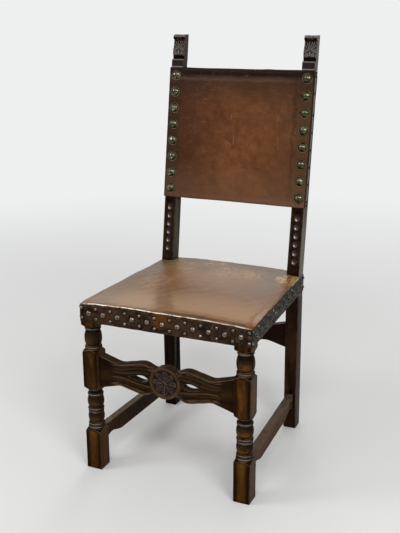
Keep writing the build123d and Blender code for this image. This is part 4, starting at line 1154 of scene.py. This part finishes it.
def back_cover():
    """Leather over the back: wrapped round the posts, rolled over the top rail and a little full."""
    points, out, faces = open_box(cover_high.x, panel_height / 2, back_wrap + back_leather, 2.4 * MM, 4 * MM)
    points[:, 1] += panel_height / 2
    points[:, 2] += back_leather
    up = points[:, 1] / panel_height
    front = step_up(points[:, 2], 0, back_leather)
    free = np.clip(1 - (points[:, 0] / post_low.x) ** 2, 0, 1)
    points[:, 2] += front * free * back_crown * (0.15 + 0.85 * np.sin(pi * np.clip(up, 0, 1)) ** 0.8)
    # A roll, a crease and a fold run under the upper edge, and a smaller roll and fold over the lower one
    from_top = panel_height - points[:, 1]
    sag = front * free**0.4
    dip = 19 * MM + 1.5 * MM * waves(points[:, :1], 160 * MM, 16)
    fold = 15 * MM + 3 * MM * waves(points[:, :1], 210 * MM, 17)
    points[:, 2] -= sag * 4.0 * MM * fall(from_top, 9 * MM)
    points[:, 2] -= sag * 1.7 * MM * ridge(from_top, dip, 6 * MM)
    points[:, 2] += sag * 0.9 * MM * ridge(from_top, 9 * MM, 6 * MM)
    points[:, 2] -= sag * 2.4 * MM * fall(points[:, 1], 6 * MM)
    points[:, 2] -= sag * 0.8 * MM * ridge(points[:, 1], fold, 3.5 * MM)
    flat = points[:, :2]
    uneven = 0.9 * MM * waves(flat, 160 * MM, 11) + 0.3 * MM * waves(flat, 42 * MM, 12)
    points[:, 2] += front * free * uneven
    ends = np.exp(-np.minimum(up, 1 - up) * panel_height / (26 * MM))
    points[:, 2] += front * free * ends * 0.35 * MM * waves(flat[:, :1], 60 * MM, 13)
    edge = step_up(np.minimum(points[:, 1], panel_height - points[:, 1]), 14 * MM, 0)
    points[:, 1] += edge * 0.4 * MM * waves(flat[:, :1], 130 * MM, 14) * free**0.3
    # The leather lies close to the posts at the nails and puffs out between them
    nails = to_face(nail_places("back_edge_nails_left", 20) + nail_places("back_edge_nails_right", 20))
    nail_low, nail_high = (to_face([corner])[0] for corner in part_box("back_nails_right"))
    dome_radius, dome_count, dome_x = 13 * MM, 8, 195 * MM
    rows = np.linspace(nail_low[1] + dome_radius, nail_high[1] - dome_radius, dome_count)
    large = [(x, v, back_leather) for x in (-dome_x, dome_x) for v in rows]
    gap = np.minimum(nearest(points, large) - 9 * MM, nearest(points, nails))
    points += out * ((1 - free) * 0.7 * MM * step_up(gap, 4 * MM, 14 * MM))[:, None]
    hem = 1 - step_up(points[:, 2], -back_wrap, 6 * MM - back_wrap)
    points[:, 2] += hem * 0.9 * MM * waves(flat, 40 * MM, 15)
    cover = make_object("back_cover", points, faces)
    solidify(cover, back_leather)
    skin, beyond = 0.05 * MM, 6 * MM
    low, high = (-beyond, -back_wrap - beyond), (panel_height + beyond, -skin)
    cut_post_slots(cover, post_low.x - skin, post_high.x + skin, low, high)
    cover.data.transform(Matrix.Translation(face_origin) @ face_axes.to_4x4())
    # The painted shadows and highlights that the material draws round the domes are a little lower and further
    # out than the domes
    shift = np.array(face_axes.col[1]) * -1.2 * MM + np.array(face_axes.col[2]) * 3 * MM
    domes = nail_places("back_nails_left", 30) + nail_places("back_nails_right", 30)
    keep_gaps(cover, [(place + shift, dome_radius + 0.5 * MM) for place in domes])
    dress(cover, back_hide)
    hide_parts("back_leather", "back_padding", "back_hessian")


# Front stretcher, in millimetres from its middle: half outline of the board, and the lines of its carving
BOARD_OUTLINE = [(0, 30), (32, 33.8), (55, 42.5), (100, 36), (130.4, 30.5), (149, 35), (189, 47)]
GROOVE_LINE = [(0, 33), (45, 33), (60, 32), (80, 29), (100, 25), (120, 20.5), (150, 20.5), (189, 24)]
INNER_RIDGE = [(0, 17), (50, 17), (70, 15), (90, 11), (110, 7), (130, 6), (145, 7), (160, 11), (189, 16)]
FLOWER_RADIUS, FLOWER_RIM, PETALS = 42.5, 7.5, 8
# The eyes: their ends towards the legs and towards the flower, and their height
EYE_TIP, EYE_END, EYE_TALL = 106.0, 46.5, 18.0


def board_edge(x):
    """Half height of the board, or of the flower where that is more."""
    disc = np.sqrt(np.clip(FLOWER_RADIUS**2 - x**2, 0, None))
    return np.maximum(curve_through(BOARD_OUTLINE, np.abs(x)), disc)


def flower_carving(x, z):
    """Height of the flower: a rounded rim, veined petals with gaps between them, and a boss."""
    ground = -2.4
    r = np.hypot(x, z)
    turn = np.arctan2(z, x) * PETALS / (2 * pi)
    beside = np.abs(turn - np.round(turn)) * 2 * pi / PETALS * r
    flower = ground + 6.2 * dome(r - (FLOWER_RADIUS - FLOWER_RIM / 2), FLOWER_RIM / 2 + 0.6)
    width = np.minimum(0.36 * r, 8.6 * dome(r - 20.5, 12.5))
    share = np.clip(beside / np.maximum(width, 0.1), 0, 1)
    petal = (3.4 + 0.07 * r) * (1 - share**2.6) ** 0.8 - 1.9 * ridge(share, 0.45, 0.22) * step_up(r, 9, 16)
    petal += 0.7 * ridge(beside, 0, 0.9)
    flower = np.where((r < 33.2) & (width > 0.2), ground + petal, flower)
    return np.where(r < 6.5, 2.2 + 3.2 * dome(r, 6.5), flower) - 1.8 * ridge(r, 7.6, 1.0)


def carving(x, z):
    """Height of the carved face above the board's face."""
    a, b = np.abs(x), np.abs(z)
    outline, groove, inner = board_edge(x), curve_through(GROOVE_LINE, a), curve_through(INNER_RIDGE, a)
    # A deep groove along the ribbon's inner side, a thin one and a broad ridge outside it, and a narrow bead;
    # then the ribbon round the eye, with its own ridge and groove
    height = -4.6 * ridge(b, groove, 3.0)
    height -= 2.2 * ridge(b, outline - 6.6, 1.5)
    height += 1.1 * ridge(b, (outline + groove) / 2 - 1.2, 3.4)
    height += 0.6 * ridge(b, outline - 3.2, 1.8)
    height -= 3.2 * (1 - step_up(b, inner - 3.2, inner))
    height += 1.0 * ridge(b, inner + 1.6, 2.0)
    height -= 1.2 * ridge(b, inner + 5.4, 1.3)
    height *= 1 - step_up(a, 138, 168)
    height -= 2.6 * step_up(b, outline - 2.4, outline) ** 2
    height += 0.3 * waves(np.stack([x, z], 1), 26, 21)
    return np.where(np.hypot(x, z) < FLOWER_RADIUS, flower_carving(x, z), height)


def eye(side, front, back, axis_z):
    """Cutter for an eye of the board, pointed towards the leg and round towards the flower."""
    along = (1 - np.cos(np.linspace(0, pi, 25))) / 2
    ups = EYE_TALL / 2 * np.sin(pi * along**1.6) ** 0.85 * 1.02
    xs = side * (EYE_TIP - (EYE_TIP - EYE_END) * along)
    rim_x = np.concatenate([xs, xs[-2:0:-1]])
    rim_z = np.concatenate([ups, -ups[-2:0:-1]]) + axis_z
    count = len(rim_x)
    layers = [np.stack([rim_x, np.full(count, y), rim_z], 1) * MM for y in (front, back)]
    faces = [(k, (k + 1) % count, count + (k + 1) % count, count + k) for k in range(count)]
    faces += [tuple(range(count))[::-1], tuple(range(count, 2 * count))]
    return make_object("eye", np.concatenate(layers), faces if side < 0 else [face[::-1] for face in faces])


def front_stretcher():
    """Carved board with flowing ribbons, two pierced eyes and a flower."""
    tenon, relief, beyond = 18, 3.0, 8
    face_y = board_low.y / MM + relief
    back_y = board_high.y / MM
    axis_z = (board_low.z + board_high.z) / 2 / MM
    fine = np.arange(0, FLOWER_RADIUS + 4, 0.8)
    right = np.concatenate([fine, np.linspace(FLOWER_RADIUS + 4, front_rail_half / MM - tenon, 96)])
    columns = np.concatenate([-right[:0:-1], right])
    even = np.linspace(-1, 1, 113)
    rows = 0.35 * np.sin(even * pi / 2) + 0.65 * even
    x, share = grid_points(columns, rows)
    z = share * board_edge(x)
    layers = [np.stack([x, y, z + axis_z], 1) for y in (face_y - carving(x, z), np.full(x.size, back_y))]
    faces = slab_faces(len(columns), len(rows))
    board = make_object("carved_stretcher", np.concatenate(layers) * MM, faces)
    for side in (-1, 1):
        combine(board, eye(side, face_y - beyond, back_y + beyond, axis_z), "DIFFERENCE")
    smooth(board, 50)
    x, y, z = (point_places(board) / MM - [0, 0, axis_z]).T
    # The flower's sunk middle gets more painted shade
    sunk = -0.3 * (np.hypot(x, z) < FLOWER_RADIUS - FLOWER_RIM)
    keep_crests(board, carving, x, z, y < (face_y + back_y) / 2, 1.8, 0.9, sunk)
    dress(board, board_wood)
    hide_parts("front_stretcher")


# Finials, in millimetres up along the post: a plain collar, a sunk neck, a leaf and a roll
COLLAR, NECK, LEAF, ROLL = 23.0, 15.0, 39.0, 14.0
ROLL_NOTCHES = [(-5.6, 1.0), (0.0, 0.65), (5.6, 1.0)]
# Profile of the finial as (height, depth out of the post's face), and the right half of its carving
FINIAL_PROFILE = [
    (0, -5.6), (4, -7.4), (9, -7.0), (13, -5.0), (20, -3.8),
    (28, -4.2), (36, -6.4), (46, -8.2), (54, -8.4), (68, -9),
]
LEAF_VEINS = [((0.6, 33), (4.2, 51)), ((3.6, 32), (9.8, 49)), ((6.0, 31), (14.0, 43))]
SIDE_LEAVES = [((6.5, 27.5), (14.5, 31.5)), ((10.5, 24.5), (15.0, 25.5))]
CURL_PLACE = (8.6, 17.0)


def strokes(u, s, segments, width):
    """Rounded ridges of height 1 along short lines."""
    total = np.zeros(np.shape(u))
    for (u0, s0), (u1, s1) in segments:
        share = ((u - u0) * (u1 - u0) + (s - s0) * (s1 - s0)) / ((u1 - u0) ** 2 + (s1 - s0) ** 2)
        share = np.clip(share, 0, 1)
        apart = np.hypot(u - u0 - share * (u1 - u0), s - s0 - share * (s1 - s0))
        total = np.maximum(total, ridge(apart, 0, width))
    return total


def notches(u, width):
    """Depth of the notches between the roll's four lobes."""
    return sum(depth * ridge(u, place, width) for place, depth in ROLL_NOTCHES)


def finial_front(u, s):
    """Depth of the finial's face out of the post's, at u across and s above the collar."""
    beside = np.abs(u)
    depth = curve_through(FINIAL_PROFILE, s)
    # Veins rise from a knot, a leaf bulges at each side of it, and two curls hang below
    depth += 2.7 * strokes(beside, s, LEAF_VEINS, 1.35)
    depth += 2.9 * strokes(beside, s, SIDE_LEAVES, 2.0)
    curl = np.hypot(beside - CURL_PLACE[0], s - CURL_PLACE[1])
    depth += 3.4 * dome(curl, 5.2) - 1.6 * ridge(curl, 2.6, 0.8)
    depth += 2.4 * dome(np.hypot(u / 3.4, (s - 20) / 7.5), 1)
    depth += 1.6 * dome(np.hypot(beside - 3.4, s - 30), 2.6)
    roll = -9.0 + (7.4 - 2.2 * notches(u, 1.2)) * dome(s - NECK - LEAF - ROLL / 2, ROLL / 2)
    depth = np.where(s < NECK + LEAF, depth, roll)
    edge = step_up((post_high.x - post_low.x) / 2 / MM - beside, 1.6, 0)
    return depth - 1.1 * edge**2 + 0.05 * waves(np.stack([u, s], 1), 12, 61)


def post_back(v):
    """Depth of the post's back at v along its face: a straight line above the seat."""
    seat_end = to_face([(0, frame_back, seat_edge_height)])[0] / MM
    top_end = to_face([(0, post_high.y, post_high.z)])[0] / MM
    return seat_end[2] + (top_end[2] - seat_end[2]) * (v - seat_end[1]) / (top_end[1] - seat_end[1])


def plain_post(side, height):
    """Copy of a post of the frame, closed off at a height along its face."""
    name = f"post_carved_{side}"
    post = new_object(name, nodes[f"rear_leg_{side}"].data.copy())
    shape = bmesh.new()
    shape.from_mesh(post.data)
    bmesh.ops.remove_doubles(shape, verts=shape.verts, dist=0.01 * MM)
    middle = Vector(from_face([(0, height, 0)])[0])
    rim = bmesh.ops.bisect_plane(
        shape, geom=shape.verts[:] + shape.edges[:] + shape.faces[:], plane_co=middle,
        plane_no=face_axes.col[1], clear_outer=True,
    )["geom_cut"]
    bmesh.ops.holes_fill(shape, edges=[e for e in rim if isinstance(e, bmesh.types.BMEdge)], sides=0)
    shape.to_mesh(post.data)
    shape.free()
    return post


def finial(sign, foot):
    """Closed block with the carved leaf and roll; its back follows the post's, and its top is notched."""
    sunk, skin = 2.0, 0.02
    total = NECK + LEAF + ROLL
    half = (post_high.x - post_low.x) / 2 / MM - skin
    columns = np.linspace(-half, half, 73)
    rows = np.concatenate([[-sunk], np.linspace(0, total, 137)])
    u, s = grid_points(columns, rows)
    notch = 3.3 * notches(u, 1.7) * step_up(s, total - 4, total)
    layers = []
    for w in (finial_front(u, np.maximum(s, 0)), post_back(foot + s)):
        height = s - w * sin(rake) / cos(rake) * (s / total) ** 2 - notch
        layers.append(np.stack([sign * (post_middle + u), foot + height, w], 1) * MM)
    faces = slab_faces(len(columns), len(rows))
    if sign < 0:
        faces = [face[::-1] for face in faces]
    return make_object("finial", from_face(np.concatenate(layers)), faces)


def carved_post(side, sign):
    """Rear leg with its bead strip as in the frame, and a carved leaf and roll on top."""
    foot = panel_top + COLLAR
    post = plain_post(side, foot * MM)
    combine(post, finial(sign, foot), "UNION")
    smooth(post, 38)
    u, v, w = (to_face(point_places(post)) / MM).T
    u, s = sign * u - post_middle, v - foot
    # The curls' ground and the roll's foot get painted shade, darker than the rest
    roll = NECK + LEAF
    lift = 0.3 - 0.9 * (1 - step_up(s, 9, 12)) + 0.2 * step_up(s, roll + 8, roll + 11)
    lift -= 0.9 * step_up(s, roll - 1, roll) * (1 - step_up(s, roll + 6, roll + 9))
    keep_crests(post, finial_front, u, s, (s > 0.3) & (w > finial_front(u, s) - 2.0), 2.2, 1.5, lift)
    dress(post, node_materials[f"rear_leg_{side}"])
    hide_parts(f"rear_leg_{side}")


# Hidden and under sides

STRAP_WIDTH, STRAP_THICKNESS, STRAP_LIFT = 50 * MM, 1.4 * MM, 1.45 * MM
LENGTHWISE_PITCH, CROSSWISE_PITCH = 70 * MM, 84 * MM


def sheet_mesh(name, columns, rows, place, thickness, keep=None):
    """Sheet over a grid: place gives each grid point's three coordinates, and keep says which faces stay."""
    points = place(*grid_points(columns, rows))
    faces = grid_faces(len(columns), len(rows))
    if keep:
        faces = [face for face in faces if keep(points[list(face)].mean(0))]
        used = sorted({v for face in faces for v in face})
        order = {v: k for k, v in enumerate(used)}
        points = points[used]
        faces = [tuple(order[v] for v in face) for face in faces]
    obj = make_object(name, points, faces)
    solidify(obj, thickness)
    return obj


def half_width(y):
    """Half width of the seat frame at y."""
    share = (y - leg_low.y) / (frame_back - leg_low.y)
    return leg_high.x + (post_high.x - leg_high.x) * share


def woven(at, crossings, first):
    """Height of a strap along its run: up over every second crossing and down under the others."""
    over = [1 - step_up(np.abs(at - crossing), 26 * MM, 36 * MM) for crossing in crossings[1 - first % 2::2]]
    return STRAP_LIFT * np.max(over, axis=0)


def strap(name, number, middle, ends, crossings):
    """Flat strap over the seat frame, lengthwise or crosswise."""
    lengthwise = name == "lengthwise"
    across = np.linspace(-STRAP_WIDTH / 2, STRAP_WIDTH / 2, 9)
    along = np.linspace(*ends, 120)

    def place(u, v):
        x, y = (u + middle, v) if lengthwise else (u, v + middle)
        height = woven(y if lengthwise else x, crossings, number if lengthwise else number + 1)
        uneven = 0.12 * MM * waves(np.stack([x, y], 1), 60 * MM, 31 if lengthwise else 32)
        return np.stack([x, y, crosswise_foot + STRAP_THICKNESS + height + uneven], 1)

    grid = (across, along) if lengthwise else (along, across)
    piece = sheet_mesh(f"strap_{name}_{number + 1}", *grid, place, STRAP_THICKNESS)
    dress(piece, webbing_cloth)
    ends[1] - ends[0]
    return piece


def webbing():
    """Straps in both directions, woven over and under each other."""
    long_x = [LENGTHWISE_PITCH * (k - 2) for k in range(5)]
    cross_y = [(leg_low.y + frame_back) / 2 + CROSSWISE_PITCH * (k - 1.5) for k in range(4)]
    for k, x in enumerate(long_x):
        ends = (strap_low.y, strap_high.y)
        piece = strap("lengthwise", k, x, ends, cross_y)
        if k == 0:
            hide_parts("webbing_lengthwise")
    for k, y in enumerate(cross_y):
        reach = half_width(y) - 6.5 * MM
        piece = strap("crosswise", k, y, (-reach, reach), long_x)
        if k == 0:
            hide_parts("webbing_crosswise")


def seat_hessian():
    """Sheet of hessian over the webbing, cut out round the posts."""
    margin = 8 * MM
    rows = np.linspace(leg_low.y + margin, frame_back - margin, 90)

    def place(u, v):
        z = hessian_top - 0.1 * MM + 0.08 * MM * waves(np.stack([u * 0.2, v], 1), 50 * MM, 41)
        return np.stack([u * (half_width(v) - margin), v, z], 1)

    def keep(point):
        return not (abs(point[0]) > post_low.x - 4 * MM and point[1] > frame_back - 44 * MM)

    piece = sheet_mesh("hessian_sheet", np.linspace(-1, 1, 90), rows, place, 0.8 * MM, keep)
    dress(piece, hessian_cloth)
    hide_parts("seat_hessian")
    flat = (2 * (half_width(leg_low.y + margin) - margin), rows[-1] - rows[0])


def back_lining():
    """Dark cloth nailed over the outside of the back, slack between its nails."""
    nails = to_face(nail_places("lining_nails", SMALL_NAIL[1]))
    margin, post_depth = 5.6 * MM, 19.5 * MM
    bottom, top = margin, panel_height - margin

    def place(u, v):
        flat = np.stack([u, v], 1)
        gap = nearest(flat, nails[:, :2])
        slack = 1.1 * MM * step_up(gap, 5 * MM, 24 * MM) * (1 + 0.6 * waves(flat, 90 * MM, 51))
        edge = np.minimum(np.minimum(v - bottom, top - v), lining_half - np.abs(u))
        slack *= 0.35 + 0.65 * step_up(edge, 0, 12 * MM)
        x = u + 0.8 * MM * waves(flat[:, 1:], 50 * MM, 52)
        return from_face(np.stack([x, v, -sheet_thickness - post_depth - slack], 1))

    columns, rows = np.linspace(lining_half, -lining_half, 90), np.linspace(bottom, top, 96)
    piece = sheet_mesh("back_lining_cloth", columns, rows, place, 1.2 * MM)
    dress(piece, lining_cloth)
    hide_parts("back_lining")
    top - bottom


seat_cover()
back_cover()
front_stretcher()
carved_post("left", -1)
carved_post("right", 1)
webbing()
seat_hessian()
back_lining()

# Floor, light and camera

PALE = (0.8, 0.8, 0.79)
BACKGROUND = (0.86, 0.865, 0.87)


def stage():
    """Plain pale floor that runs far behind the chair and meets the background without a line."""
    reach = 30.0
    corners = [(-reach, -reach, 0), (reach, -reach, 0), (reach, reach, 0), (-reach, reach, 0)]
    floor = make_object("floor", corners, [(0, 1, 2, 3)])
    shader = Shader("floor_paint")
    shader.colour = PALE
    floor.data.materials.append(shader.finish(Roughness=0.9, Specular_IOR_Level=0.1))
    far = shader.vector("LENGTH", shader.place, (0, 0, 0)).span(0.9, 3.6)
    seen = shader.node("LightPath", output="Is Camera Ray")
    glow = shader.node("Emission", {"Color": BACKGROUND, "Strength": 1.0})
    lit = Value(shader, shader.surface.outputs[0])
    both = shader.node("MixShader", {0: far * seen, 1: lit, 2: glow})
    shader.put(shader.tree.nodes["Material Output"].inputs["Surface"], both)


def world():
    """Even pale surroundings, seen as they are and giving a softer light."""
    made = bpy.data.worlds.new("studio")
    bpy.context.scene.world = made
    made.use_nodes = True
    tree = Nodes(made.node_tree)
    seen = tree.node("LightPath", output="Is Camera Ray")
    for name in ("Is Glossy Ray", "Is Transmission Ray"):
        seen = seen.most(tree.node("LightPath", output=name))
    strength = tree.node("MapRange", {"Value": seen, "To Min": 0.5, "To Max": 1.0})
    background = made.node_tree.nodes["Background"]
    tree.put(background.inputs["Color"], BACKGROUND)
    tree.put(background.inputs["Strength"], strength)


def lamp(name, place, size, power):
    """Square lamp turned towards the middle of the chair."""
    data = bpy.data.lights.new(name, "AREA")
    data.size = size
    data.energy = power
    obj = new_object(name, data)
    obj.location = place
    obj.rotation_mode = "QUATERNION"
    obj.rotation_quaternion = (Vector((0, 0, 0.5)) - Vector(place)).to_track_quat("-Z", "Y")


def camera():
    """Camera where the photograph was taken from."""
    data = bpy.data.cameras.new("camera")
    data.sensor_width = 36.0
    focal_pixels, picture_height = 839.23, 533
    data.lens = focal_pixels / picture_height * data.sensor_width
    obj = new_object("camera", data)
    yaw, pitch, roll = radians(24.192), radians(16.806), radians(0.265)
    place = Matrix.Translation(Vector((870.76, -1981.62, 1170.27)) * MM)
    for angle, axis in ((yaw, "Z"), (pi / 2 - pitch, "X"), (-roll, "Z")):
        place = place @ Matrix.Rotation(angle, 4, axis)
    obj.matrix_world = place
    bpy.context.scene.camera = obj


stage()
world()
lamp("window_right", (2.1, -2.0, 2.4), 1.2, 42)
lamp("window_middle", (0.5, -2.6, 2.9), 1.0, 26)
lamp("window_left", (-2.1, -1.6, 2.3), 0.9, 20)
lamp("window_back", (-0.5, 2.6, 2.4), 1.6, 24)
camera()
bpy.context.scene.view_settings.view_transform = "Standard"
